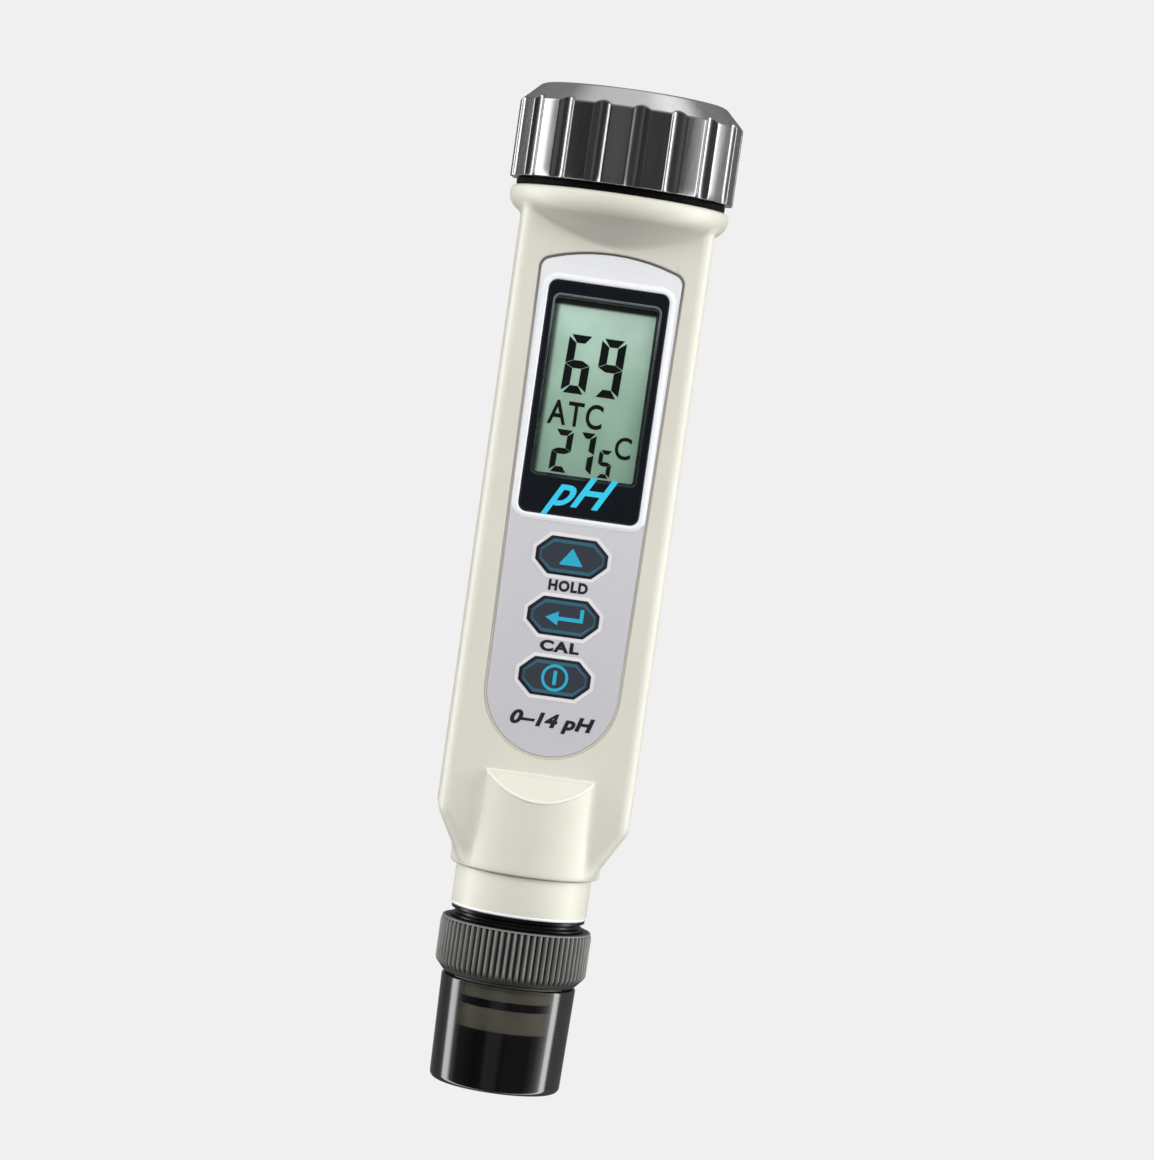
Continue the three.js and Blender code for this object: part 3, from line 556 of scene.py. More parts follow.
def label_outline(grow):
    """The face label: a half-round end, sides that spread upwards and an arched top with round corners."""
    low, high = place("face_label")
    end = high[0] * LABEL_END
    end_centre = low[2] + end
    end += grow
    side, corner, peak = high[0] + grow, high[2] - LABEL_ARCH + grow, high[2] + grow
    arc_radius = (side**2 + LABEL_ARCH**2) / (2 * LABEL_ARCH)
    reach = math.asin(side / arc_radius)
    arch = [
        (arc_radius * math.sin(a), peak - arc_radius + arc_radius * math.cos(a), 0)
        for a in np.linspace(reach, -reach, 13)[1:-1]
    ]
    half_turn = np.linspace(np.pi, 2 * np.pi, 49)
    bottom = [(end * math.cos(a), end_centre + end * math.sin(a), 0) for a in half_turn]
    top = [(side, corner, LABEL_CORNER + grow), *arch, (-side, corner, LABEL_CORNER + grow)]
    return rounded(bottom + top, closed=True, steps=8)


# ---------- the housing ----------

# Heights along the pen where the housing changes shape, and the roundness of its edges there.
FOOT = 42.0  # where the flat body is as narrow as the round nose
SHOULDER = 48.7  # where it reaches its full width
FACET_LOW = 52.4  # where the sloping facet starts to cut the round nose away
TAPER_TOP = 56.8  # where that facet and the narrowing front meet the flat face
CONE_FOOT = 151.1  # where the round top's cone reaches the flat face
RIM_LOW = 156.6  # where the cone reaches the flange's rim
BODY_TOP = 156.5
TAPER_DEPTH = 0.6  # how much shallower each side of the body is at its foot
FRONT_EDGE = 2.2
FOOT_EDGE = 3.5
BACK_EDGE = 8.0
BLEND = 0.6  # how softly the body's shapes run into each other
SMILE_BLEND = 1.3  # and the cone into the flat face


def smooth_max(a, b, blend):
    share = np.clip(0.5 + 0.5 * (a - b) / blend, 0, 1)
    return b + (a - b) * share + blend * share * (1 - share)


def smooth_min(a, b, blend):
    return -smooth_max(-a, -b, blend)


def box_reach(angles, half_width, front, back, front_edge, back_edge):
    """How far a rectangle with round corners reaches from the axis, at angles from the front."""
    across = np.maximum(np.abs(np.sin(angles)), 1e-9)
    ahead = np.cos(angles)
    depth = np.where(ahead > 0, front, back)
    edge = np.where(ahead > 0, front_edge, back_edge)
    ahead = np.maximum(np.abs(ahead), 1e-9)
    flat = np.minimum(half_width / across, depth / ahead)
    centre_x, centre_y = half_width - edge, depth - edge
    along = across * centre_x + ahead * centre_y
    arc = along + np.sqrt(np.maximum(along**2 - centre_x**2 - centre_y**2 + edge**2, 0))
    on_corner = (flat * across > centre_x) & (flat * ahead > centre_y)
    return np.where(on_corner, arc, flat)


def housing_columns():
    """Angles from the front, closer together where the body's edges are round."""
    spacing = [(0, 44, 2), (44, 54, 1), (54, 72, 0.36), (72, 144, 1), (144, 180, 2)]
    half = np.concatenate([np.arange(start, end, step) for start, end, step in spacing])
    return np.radians(np.concatenate([half, [180], 360 - half[:0:-1]]))


def slab_reach(angles, z):
    """The flat body at one height: it narrows and its edges grow rounder towards its foot."""
    low, high = body_section()
    foot_width = radius_at("housing", FOOT - 0.1)
    rise = (z - FOOT) / (SHOULDER - FOOT)
    half_width = smooth_min(high[0], foot_width + (high[0] - foot_width) * rise, BLEND)
    taper = TAPER_DEPTH * np.clip((TAPER_TOP - z) / (TAPER_TOP - FOOT), 0, 1) ** 2
    edge = FRONT_EDGE + (FOOT_EDGE - FRONT_EDGE) * np.clip(1 - rise, 0, 1)
    return box_reach(angles, half_width, -low[1] - taper, high[1] - taper, edge, BACK_EDGE)


def nose_size():
    """The round nose's radius, the depth of the flat face and how fast the facet between them slopes."""
    radius = radius_at("housing", FOOT + 0.1)
    face = -body_section()[0][1]
    return radius, face, (radius - face) / (TAPER_TOP - FACET_LOW)


def nose_reach(angles, z):
    """The round nose, cut away at the front by a sloping facet."""
    radius, _, slope = nose_size()
    facet = np.maximum(radius - (z - FACET_LOW) * slope, 1)
    back = np.maximum(radius - (z - TAPER_TOP + 1), 1)
    ahead = np.cos(angles)
    flat = np.where(ahead > 0, facet, back) / np.maximum(np.abs(ahead), 1e-9)
    return smooth_min(radius, flat, BLEND / 2)


def top_profile():
    """The cone and the flange's rounded rim, as radius and height."""
    radius = radius_of("housing")
    top = foot_of("cap_seal") - 0.02
    face = nose_size()[1]
    run = 1.5
    slope = (radius - face) / (RIM_LOW - CONE_FOOT)
    return rounded([
        (face - run * slope, CONE_FOOT - run, 0), (radius, RIM_LOW, 3.4), (radius, top, 1.0),
        (radius - 1.4, top, 0),
    ], steps=8)


def housing_shell():
    """The outside from the nose up and the inside back down, as one closed skin."""
    angles = housing_columns()
    row = functools.partial(level_row, from_front(angles))
    low, high = place("housing")
    nose = radius_at("housing", low[2] + 1)
    neck = neck_radius()
    neck_bore = radius_of("cap_contact_plate") + 1.1
    nose_bore = radius_of("end_collar") - 0.9
    body_low, body_high = body_section()

    foot_edge = rounded([(nose - 1, low[2], 0), (nose, low[2], 0.5), (nose, low[2] + 1, 0)])
    rows = [row(radius, z) for radius, z in foot_edge[:-1]]
    heights = np.concatenate([
        np.arange(low[2] + 0.9, FACET_LOW - 1, 0.3), np.arange(FACET_LOW - 1, TAPER_TOP + 1.2, 0.1),
        np.arange(60, CONE_FOOT - 3, 12), np.arange(CONE_FOOT - 1.5, BODY_TOP, 0.15),
    ])
    profile = np.array(top_profile())
    for z in heights:
        body = smooth_max(slab_reach(angles, z), nose_reach(angles, z), BLEND)
        if z > profile[0][1]:
            body = smooth_max(body, np.interp(z, profile[:, 1], profile[:, 0]), SMILE_BLEND)
        rows.append(row(body, z))
    rows += [row(radius, z) for radius, z in profile if z > BODY_TOP]
    flange_top = profile[-1][1]
    neck_wall = [
        (neck + 0.3, flange_top), (neck, flange_top + 0.3), (neck, high[2] - 0.3), (neck - 0.3, high[2]),
        (neck_bore + 0.3, high[2]), (neck_bore, high[2] - 0.3), (neck_bore, BODY_TOP + 1),
    ]
    rows += [row(radius, z) for radius, z in neck_wall]

    wall, front_wall, passage_width = 2.0, 2.4, 12
    depths = -body_low[1] - front_wall, body_high[1] - wall
    inside = box_reach(angles, body_high[0] - wall, *depths, 1, 6)
    passage = box_reach(angles, passage_width, *depths, 1, 3)
    rows += [
        row(passage, BODY_TOP + 1), row(passage, CONE_FOOT), row(inside, CONE_FOOT), row(inside, FACET_LOW),
        row(nose_bore, FACET_LOW), row(nose_bore, low[2] + 0.3), row(nose_bore + 0.3, low[2]),
    ]
    return skin("housing_shell", rows, loop=True)


def facet_bead():
    """The fine bead along the facet's straight top and round its lower arc, paler than the housing as a
    painted highlight.
    """
    radius, face, slope = nose_size()
    thick, sunk = 0.32, 0.16
    end = math.acos(face / radius)
    turn = np.linspace(-end, end, 49)
    depth = radius * np.cos(turn)
    arc = np.column_stack([radius * np.sin(turn), -depth, FACET_LOW + (radius - depth) / slope])
    straight = np.linspace(arc[-1], arc[0], 26)[1:-1]
    path = np.concatenate([arc, straight]) + np.array([0, sunk, 0])
    along = np.roll(path, -1, axis=0) - np.roll(path, 1, axis=0)
    along /= np.linalg.norm(along, axis=1)[:, None]
    outward = np.array([0.0, -1.0, 0.0]) + along * along[:, 1:2]
    outward /= np.linalg.norm(outward, axis=1)[:, None]
    across = np.cross(along, outward)
    rows = [
        [middle + thick * (math.cos(a) * out + math.sin(a) * side) for a in turn_angles(10)]
        for middle, out, side in zip(path, outward, across)
    ]
    bead = skin("facet_bead", rows, loop=True, sharp_degrees=80)
    return wear(bead, "bright_edge", "housing", replace=False)


def housing_piece():
    face = body_section()[0][1]
    floor = depths("face_label")[1] + 0.05
    mouth = [
        (face - 1, label_outline(1.6)), (face, label_outline(0.55)), (face + 0.3, label_outline(0.2)),
        (floor, label_outline(0.2)),
    ]
    window = grown_rectangle(*place("display_frame"), FRAME_CORNER, 0.15)
    cutters = [slab("label_cut", mouth), plate("window_cut", window, face - 1, face + 4)]
    cutters += [plate(key + "_cut", key_outline(key, 0.2), face - 1, face + 4) for key in KEYS]
    return wear(cut_away(housing_shell(), cutters), "white_plastic", "housing")


def neck_thread():
    """The thread the battery cap screws onto, as a low ridge that runs out at both ends."""
    neck = neck_radius()
    pitch, turns, crest = 3.2, 3, 0.65
    start = foot_of("battery_cap") + 1.2
    rows = []
    for share in np.linspace(0, 1, turns * 72 + 1):
        angle = 2 * math.pi * turns * share
        height = start + pitch * turns * share
        rise = crest * min(1, 12 * share, 12 * (1 - share)) + 0.02
        profile = [(-0.3, -1), (rise - 0.1, -0.4), (rise, -0.3), (rise, 0.3), (rise - 0.1, 0.4), (-0.3, 1)]
        rows.append([
            ((neck + out) * math.cos(angle), (neck + out) * math.sin(angle), height + up)
            for out, up in profile
        ])
    return wear(skin("neck_thread", rows, sharp_degrees=60), "white_plastic", "housing", replace=False)


# ---------- the face: label, window and screen ----------

def key_size(key):
    """A keycap's face: its width, height and middle height."""
    low, high = section(key, 1, front_of(key) + 0.2)
    return high[0] - low[0], high[2] - low[2], (high[2] + low[2]) / 2


def key_outline(key, grow):
    width, height, centre = key_size(key)
    return octagon(width, height, centre, grow)


def label_piece():
    front, back = depths("face_label")
    ease = 0.12
    levels = [(back, label_outline(0)), (front + ease, label_outline(0)), (front, label_outline(-ease))]
    window = grown_rectangle(*place("window_rim"), 2.2, -0.2)
    cutters = [plate("window_cut", window, front - 1, back + 1)]
    cutters += [plate(key + "_cut", key_outline(key, 0.1), front - 1, back + 1) for key in KEYS]
    return wear(cut_away(slab("label_film", levels), cutters), "label_film", "face_label")


def label_gap():
    """A thin band in the gap between the label and the edge of its recess, coloured with painted shade."""
    face = body_section()[0][1]
    profile = [(0.04, face + 0.12), (0.04, face), (0.36, face - 0.02), (0.36, face + 0.12)]
    return wear(band("label_gap", label_outline, profile), "label_gap", "face_label", replace=False)


def window_rim():
    """A rounded bead round the window, over the label's edge."""
    front, back = depths("window_rim")
    inner, outer, corner = -0.65, 0.5, 2.25
    film = front_of("face_label")
    profile = [
        (-0.25, back), (-0.25, film), (outer, film), (outer, film - 0.05), (0.1, front + 0.06),
        (-0.15, front), (inner + 0.3, front), (inner + 0.08, front + 0.08), (inner, front + 0.25),
        (inner, back),
    ]
    outline = functools.partial(grown_rectangle, *place("window_rim"), corner)
    bead = band("window_bead", outline, profile, 60)
    return wear(bead, "white_trim", "window_rim")


def screen_box():
    """The clear opening in the black frame, where its bevel ends."""
    low, high = place("display_lens")
    low, high = section("display_lens", 1, (low[1] + high[1]) / 2)
    edge = 0.75 * np.array([1, 0, 1])
    return low + edge, high - edge


def screen_outline(grow):
    return grown_rectangle(*screen_box(), 0.5, grow)


def display_frame():
    front, back = depths("display_frame")
    bevel = 0.8
    lens = front_of("display_lens")
    outside = [(0, back), (0, front + 0.12), (-0.12, front)]
    inside = [
        (bevel, front), (bevel - 0.08, front + 0.06), (0.1, lens - 0.5), (0, lens - 0.35), (0, lens - 0.05),
        (0.95, lens - 0.05), (0.95, back),
    ]
    outline = functools.partial(grown_rectangle, *place("display_frame"), FRAME_CORNER)
    rows = [standing(outline(grow), y) for grow, y in outside]
    rows += [standing(screen_outline(grow), y) for grow, y in inside]
    return wear(skin("display_surround", rows, loop=True), "glossy_black", "display_frame")


def frame_bevel():
    """The inner bevel that steps from the frame down to the screen, with a painted highlight along its top.
    """
    front = front_of("display_frame")
    profile = [
        (0.82, front + 0.1), (0.82, front - 0.03), (0.62, front - 0.03), (0.42, front + 0.35),
        (0.42, front + 0.6),
    ]
    return wear(band("frame_bevel", screen_outline, profile), "frame_step", "display_frame", replace=False)


def display_lens():
    low, high = place("display_lens")
    ease = 0.1
    eased = grown_rectangle(low, high, 0.5 + ease, -ease)
    full = grown_rectangle(low, high, 0.5, 0)
    levels = [(high[1], eased), (high[1] - ease, full), (low[1] + ease, full), (low[1], eased)]
    return wear(slab("display_window", levels), "display_lens", "display_lens")


# Which of the seven bars each figure lights: a is the top, then clockwise to f, and g is the middle.
LIT = {"2": "abged", "5": "afgcd", "6": "afgedc", "7": "abc", "9": "abcdfg"}


def bar_outlines(width, height, stroke, gap):
    """The seven bars of a figure, mitred where they meet. The lower half mirrors the upper half."""
    w, h, s, g = width, height, stroke, gap
    nick = s / 4
    top = [(g + nick, h), (w - g - nick, h), (w - s - g, h - s), (s + g, h - s)]
    left = [(0, h - g - nick), (s, h - s - g), (s, h / 2 + s / 2 + g), (0, h / 2 + g)]
    middle = [
        (g, h / 2), (s, h / 2 + s / 2), (w - s, h / 2 + s / 2),
        (w - g, h / 2), (w - s, h / 2 - s / 2), (s, h / 2 - s / 2),
    ]

    def flipped(outline):
        return [(x, h - z) for x, z in outline]

    def mirrored(outline):
        return [(w - x, z) for x, z in outline]

    right = mirrored(left)
    return {
        "a": top, "b": right, "c": flipped(right), "d": flipped(top),
        "e": flipped(left), "f": left, "g": middle,
    }


# The screen's figures: which it is, its left edge, how far its foot is above the screen's, and its width,
# height and stroke.
FIGURES = [
    ("6", -6.05, 14.4, 4.4, 10.4, 1.42), ("9", -0.2, 14.4, 4.4, 10.4, 1.42),
    ("2", -6.2, 0.3, 3.4, 7.6, 1.05), ("7", -1.7, 0.3, 3.0, 7.6, 1.05), ("5", 2.25, 0.3, 2.4, 5.0, 0.75),
]
# The screen's letters: their height, how far their middle is to the pen's right and above the screen's
# foot, and their width.
LETTERS = {"ATC": (4.45, -2.8, 10.8, 9.7), "C": (4.0, 6.4, 6.0, 2.9)}
LEAN = 0.03  # how far the figures lean to the right for each unit of height
INK = 0.02  # the thickness of what the screen shows


def seven_segment(figure, left, low, width, height, stroke, y):
    """The lit bars of one figure of a liquid crystal display."""
    outlines = bar_outlines(width, height, stroke, 0.05 * stroke)
    for letter in LIT[figure]:
        placed = [(left + x + z * LEAN, low + z) for x, z in outlines[letter]]
        yield plate("bar_" + letter, placed, y, y - INK)


def screen_reading():
    """What the display shows: a large reading, the compensation flag and a temperature."""
    y = front_of("lcd_glass") - 0.03
    foot = screen_box()[0][2]
    marks = []
    for figure, left, rise, *size in FIGURES:
        marks += seven_segment(figure, left, foot + rise, *size, y)
    for letters, (height, x, rise, width) in LETTERS.items():
        centre = (x, foot + rise)
        marks.append(lettering(letters, height, centre, y, INK, bold=0.015, width=width, spacing=1.12))
    return wear(joined("screen_reading", marks), "lcd_ink", "lcd_glass", replace=False)


def quantity_sign():
    """The plain sign of the measured quantity, printed on the frame below the screen."""
    low = place("display_frame")[0]
    sign = lettering("pH", 7.4, (-0.15, low[2] + 3.6), low[1], 0.04, slant=0.55, bold=0.02, width=12.9)
    sign.name = "quantity_sign"
    return wear(sign, "cyan_print", "display_frame", replace=False)


def label_lettering():
    """The words under two keys and the measuring range near the label's end."""
    low = place("face_label")[0]
    front_and_depth = low[1], 0.03
    words = []
    for key, word in [("key_hold", "HOLD"), ("key_cal", "CAL")]:
        _, height, middle = key_size(key)
        centre = (0.1, middle - height / 2 - 1.95)
        words.append(lettering(word, 2.0, centre, *front_and_depth, bold=0.05, width=7.0, spacing=1.15))
    style = {"slant": 0.25, "bold": 0.045, "width": 15.0, "spacing": 1.05}
    words.append(lettering("0\u201314 pH", 3.3, (0.7, low[2] + 6.1), *front_and_depth, **style))
    return wear(joined("label_lettering", words), "dark_print", "face_label", replace=False)


# ---------- the keys ----------


def key_halo(key):
    """The pale line printed round a key's opening."""
    front = front_of("face_label")
    inner, outer, rise = 0.12, 0.72, 0.02
    profile = [(outer, front + rise), (outer, front - rise), (inner, front - rise), (inner, front + rise)]
    halo = band(key + "_halo", functools.partial(key_outline, key), profile)
    return wear(halo, "pale_print", "face_label", replace=False)


def keycap(key):
    """A keycap with an eased edge and the flange that holds it behind the wall."""
    low, high = place(key)
    front, back = depths(key)
    lip = (high[0] - low[0] - key_size(key)[0]) / 2
    profile = [
        (back, lip), (back - 0.68, lip), (back - 0.7, 0), (front + 0.25, 0), (front + 0.08, -0.07),
        (front, -0.25),
    ]
    levels = [(y, key_outline(key, grow)) for y, grow in profile]
    return wear(slab(key + "_cap", levels), "key_plastic", key)


def key_face(key):
    """The key's blue-grey field, printed a hair above the cap."""
    front = front_of(key)
    field = plate(key + "_field", key_outline(key, -0.38), front + 0.02, front - 0.02)
    return wear(field, "key_film", key, replace=False)


def key_line(key):
    """The teal line printed inside a key's edge, broader along its top and bottom."""
    front = front_of(key)
    width, height, centre = key_size(key)
    outer = octagon(width - 0.6, height, centre, -0.4, 0.2)
    inner = octagon(width - 1.0, height - 1.2, centre, -0.4, 0.2)
    levels = [(outer, front), (outer, front - 0.04), (inner, front - 0.04), (inner, front)]
    rows = [standing(outline, y) for outline, y in levels]
    return wear(skin(key + "_line", rows, loop=True), "teal_print", key, replace=False)


def ring_sign(name, centre, outer, stroke, back, front):
    """A printed ring facing -Y."""
    inner = outer - stroke

    def circle(radius):
        return directions(turn_angles(48)) * radius + (0, centre)

    return band(name, circle, [(outer, back), (outer, front), (inner, front), (inner, back)])


def key_signs():
    """A triangle, a return arrow and an on-off sign, one on each key."""
    signs = {}
    front = front_of("key_hold") - 0.07
    print_depths = front + 0.04, front
    z = key_size("key_hold")[2]
    triangle = [(-2.15, z - 1.5, 0.12), (2.15, z - 1.5, 0.12), (0, z + 1.55, 0.12)]
    signs["key_hold"] = [plate("triangle", rounded(triangle, closed=True, steps=3), *print_depths)]

    z = key_size("key_cal")[2]
    tip, neck, head, right, top, half = -3.2, -0.9, 1.25, 3.55, z + 1.8, 0.34
    shaft, inner = z - 0.25, right - 2 * half
    arrow = [
        (tip, shaft), (neck, shaft - head), (neck, shaft - half), (right, shaft - half), (right, top),
        (inner, top), (inner, shaft + half), (neck, shaft + half), (neck, shaft + head),
    ]
    signs["key_cal"] = [plate("arrow", arrow, *print_depths)]

    z = key_size("key_power")[2]
    bar = rounded_rectangle(-0.33, z - 1.3, 0.33, z + 1.3, 0.25, 3)
    ring = ring_sign("circle", z, 2.4, 0.5, *print_depths)
    signs["key_power"] = [ring, plate("bar", bar, *print_depths)]
    for key, made in signs.items():
        wear(joined(key + "_sign", made), "blue_print", key, replace=False)


# ---------- the battery end ----------

FLUTES = 18
FLUTE_WIDTH = 2.9
FLUTE_DEPTH = 0.65
FIRST_FLUTE = math.radians(1.6)  # from the front


def battery_cap():
    """The chrome shell: round grooves between plain lobes, all running out into the chamfer."""
    _, foot, top = extent("battery_cap")
    radius = radius_at("battery_cap", foot + 1)
    top_radius = radius - 3.5
    chamfer = top - 3.4
    liner_radius, _, liner_top = extent("cap_liner")
    bore, roof = liner_radius + 0.15, liner_top + 0.1
    per_flute = 40
    angles = turn_angles(FLUTES * per_flute)
    turn = (np.arange(len(angles)) % per_flute) / per_flute
    across = np.where(turn > 0.5, turn - 1, turn) * 2 * np.pi / FLUTES * radius
    arc = (FLUTE_WIDTH**2 / 4 + FLUTE_DEPTH**2) / (2 * FLUTE_DEPTH)
    groove = np.sqrt(np.maximum(arc**2 - across**2, 0)) - (arc - FLUTE_DEPTH)
    fluted = radius - smooth_max(groove, 0.0, 0.12)
    row = functools.partial(level_row, from_front(angles + FIRST_FLUTE))
    slope = (radius - top_radius) / (top - chamfer)
    edge = 0.12
    inside = [(0.3, roof), (bore - 0.5, roof), (bore, roof - 0.5), (bore, foot + 0.4), (bore + 0.4, foot)]
    rows = [row(reach, z) for reach, z in inside]
    rows += [row(fluted - edge, foot), row(fluted, foot + edge)]
    flank = np.linspace(foot + 2, chamfer - 1.6, 6)
    run_out = np.linspace(chamfer - 1.2, top - 0.25, 30)
    for z in np.concatenate([flank, run_out]):
        rows.append(row(smooth_min(fluted, radius - (z - chamfer) * slope, 0.25), z))
    for inset, drop in [(0.05, 0.12), (0.25, 0.03), (0.6, 0.0)]:
        rows.append(row(top_radius - inset, top - drop))
    rows += [row(top_radius * share, top) for share in (0.9, 0.6, 0.3, 0.02)]
    shell = skin("battery_cap_shell", rows, sharp_degrees=50)
    return wear(shell, "dark_chrome", "battery_cap")


def cap_liner():
    """The cap's lining, turned plain without a thread."""
    radius, foot, top = extent("cap_liner")
    points = np.abs(np.array([v.co for v in frame["nodes"]["cap_liner"].data.vertices]) / MM)
    wall = radius - np.hypot(points[:, 0], points[:, 1])[points[:, 2] < foot + 0.1].min()
    bore, roof = radius - wall, top - 0.9
    return lathe("cap_lining", "black_plastic", "cap_liner", [
        (0, roof, 0), (bore, roof, 0.4), (bore, foot, 0.2), (radius, foot, 0.2), (radius, top, 0.3),
        (0, top, 0),
    ])


def cap_seal():
    """The flat rubber ring under the cap, its edges a little rounded."""
    radius, foot, top = extent("cap_seal")
    bore = neck_radius() + 0.2
    return lathe("cap_washer", "seal_rubber", "cap_seal", [
        (bore, foot, 0.2), (radius, foot, 0.45), (radius, top, 0.45), (bore, top, 0.2),
    ], closed=True)


# ---------- the electrode end ----------


def end_collar():
    radius, foot, top = extent("end_collar")
    step = foot_of("housing") - 0.15
    spigot = radius_at("end_collar", top - 1)
    bore = spigot - 1.4
    return lathe("end_sleeve", "white_plastic", "end_collar", [
        (bore, foot, 0.15), (radius, foot, 0.45), (radius, step, 0.15), (spigot, step, 0.1),
        (spigot, top, 0.3), (bore, top, 0.15),
    ], closed=True)


def collar_edge():
    """The rounded lip at the collar's lower end, whiter than the collar as a painted highlight."""
    radius, foot, _ = extent("end_collar")
    lip = cord_ring("collar_lip", radius - 0.3, foot + 0.34, 0.36)
    return wear(lip, "white_trim", "end_collar", replace=False)


def sensor_socket():
    """The black snout that the ring screws onto, with its waist and thin flange."""
    radius, foot, top = extent("sensor_socket")
    collar = foot_of("end_collar")
    core = radius_at("sensor_socket", foot + 1)
    stem = radius_at("sensor_socket", top - 1)
    rib_low = top_of("lock_ring") + 0.1
    web = 38.7  # the height of the wall that carries the contacts
    bore = core - 2.7
    rib, waist, flange = radius - 0.1, radius - 0.7, radius
    return lathe("socket_snout", "socket_black", "sensor_socket", [
        (0, web, 0), (bore, web, 0.3), (bore, foot, 0.3), (core, foot, 0.4), (core, rib_low, 0.1),
        (rib, rib_low, 0.2), (rib, rib_low + 0.45, 0.15), (waist, rib_low + 0.75, 0.3),
        (waist, collar - 0.85, 0.3), (flange, collar - 0.6, 0.1), (flange, collar - 0.05, 0.1),
        (stem, collar - 0.05, 0.1), (stem, top, 0.2), (0, top, 0),
    ])


def lock_ring():
    """The ribbed ring: round ribs between deeper grooves, a plain rim above and a chamfer below."""
    radius, foot, top = extent("lock_ring")
    ribs, per_rib, depth = 72, 12, 0.9
    foot_radius = radius_at("lock_ring", foot + 0.02)
    angles = turn_angles(ribs * per_rib)
    wave = np.abs(np.sin(angles * ribs / 2))
    ribbed = radius - depth * (1 - wave**1.7)
    row = functools.partial(level_row, directions(angles))
    rim, rim_height = radius - 0.2, 0.3
    chamfer = foot + 2.0
    slope = (radius - foot_radius) / (chamfer - foot)
    bore = radius_at("sensor_socket", foot_of("sensor_socket") + 1) + 0.35
    lip = bore - 1.45
    rows = [row(foot_radius - 0.25, foot)]
    for z in np.concatenate([np.linspace(foot + 0.15, chamfer + 0.5, 9), [top - rim_height - 0.6]]):
        rows.append(row(smooth_min(ribbed, foot_radius + (z - foot) * slope, 0.3), z))
    rows.append(row(smooth_min(ribbed, rim, 0.15), top - rim_height))
    plain = [
        (rim, top - rim_height + 0.05), (rim, top - 0.12), (rim - 0.12, top),
        (bore + 0.2, top), (bore, top - 0.2), (bore, chamfer), (lip, chamfer), (lip, foot + 0.2),
        (lip + 0.2, foot),
    ]
    rows += [row(reach, z) for reach, z in plain]
    body = skin("ribbed_ring", rows, loop=True, sharp_degrees=50)
    return wear(body, "ribbed_rubber", "lock_ring")


def electrode_body():
    """The electrode's shaft with its collar, the groove for its ring, its flange and its plug."""
    radius, foot, top = extent("electrode_body")
    ring_radius, ring_foot, ring_top = extent("cap_ring")
    seal_radius, seal_foot, seal_top = extent("plug_seal")
    collar_top, flange_low, plug_low = 17.9, 21.3, 23.8  # where the solid changes its radius
    spigot, collar, shaft, plug = (
        radius_at("electrode_body", z) for z in (foot + 0.5, collar_top - 0.5, collar_top + 1, plug_low + 1)
    )
    depth = ring_top - ring_foot + 0.2
    groove_low, groove_high = ring_foot - 0.1, ring_foot + depth - 0.1
    floor = ring_radius - depth
    seal_floor = seal_radius - (seal_top - seal_foot) - 0.05
    seal_low, seal_high = seal_foot - 0.1, seal_top + 0.1
    return lathe("electrode_shaft", "electrode_plastic", "electrode_body", [
        (0, foot, 0), (spigot, foot, 0.2), (spigot, foot + 1, 0.1), (shaft, foot + 1, 0.3),
        (shaft, groove_low, 0.1), (floor, groove_low, 0.1), (floor, groove_high, 0.1),
        (collar, groove_high, 0.1), (collar, collar_top, 0.1), (shaft, collar_top + 0.1, 0.05),
        (shaft, flange_low, 0.2), (radius, flange_low, 0.3), (radius, plug_low, 0.3), (plug, plug_low, 0.2),
        (plug, seal_low, 0.05), (seal_floor, seal_low, 0.05), (seal_floor, seal_high, 0.05),
        (plug, seal_high, 0.05), (plug, top, 0.4), (0, top, 0),
    ], steps=4)


def electrode_guard():
    """The cage round the bulb, open on four sides."""
    radius, foot, top = extent("electrode_guard")
    bore = radius - 1.2
    profile = rounded([
        (bore, foot, 0.3), (radius, foot, 0.4), (radius, top, 0.2), (bore, top, 0.2),
    ], closed=True)
    cage = turned("bulb_cage", profile, loop=True)
    slot_top, half = foot + 4.3, 2.0
    opening = rounded([
        (-half, foot - 1, 0), (half, foot - 1, 0), (half, slot_top, 0.8), (-half, slot_top, 0.8),
    ], closed=True)
    cutters = []
    for i in range(2):
        cutter = plate("slot", opening, -radius - 1, radius + 1)
        cutter.data.transform(Matrix.Rotation(math.pi / 4 + i * math.pi / 2, 4, "Z"))
        cutters.append(cutter)
    return wear(cut_away(cage, cutters), "black_plastic", "electrode_guard")


def glass_bulb():
    radius, foot, top = extent("glass_bulb")
    stem = 2.5
    centre = foot + radius
    shoulder = math.asin(stem / radius)
    arc = [
        (radius * math.sin(a), centre - radius * math.cos(a))
        for a in np.linspace(0, math.pi - shoulder, 24)
    ]
    bulb = turned("bulb", arc + [(stem, top), (0, top)], count=FINE)
    return wear(bulb, "bulb_glass", "glass_bulb")


def small_pins():
    """The temperature pin and the porous plug beside the bulb, both with rounded ends."""
    for node, name, material in [
        ("temperature_probe", "temperature_pin", "steel"),
        ("reference_junction", "porous_plug", "ceramic"),
    ]:
        low, high = place(node)
        centre = ((low[0] + high[0]) / 2, (low[1] + high[1]) / 2)
        radius = (high[0] - low[0]) / 2
        lathe(name, material, node, [
            (0, low[2], 0), (radius, low[2], radius * 0.6), (radius, high[2], 0.1), (0, high[2], 0),
        ], count=32, centre=centre)


def rubber_ring(node, name):
    """A rubber O-ring."""
    radius, foot, top = extent(node)
    cord_radius = (top - foot) / 2
    ring = cord_ring(name, radius - cord_radius, foot + cord_radius, cord_radius)
    return wear(ring, "seal_rubber", node)


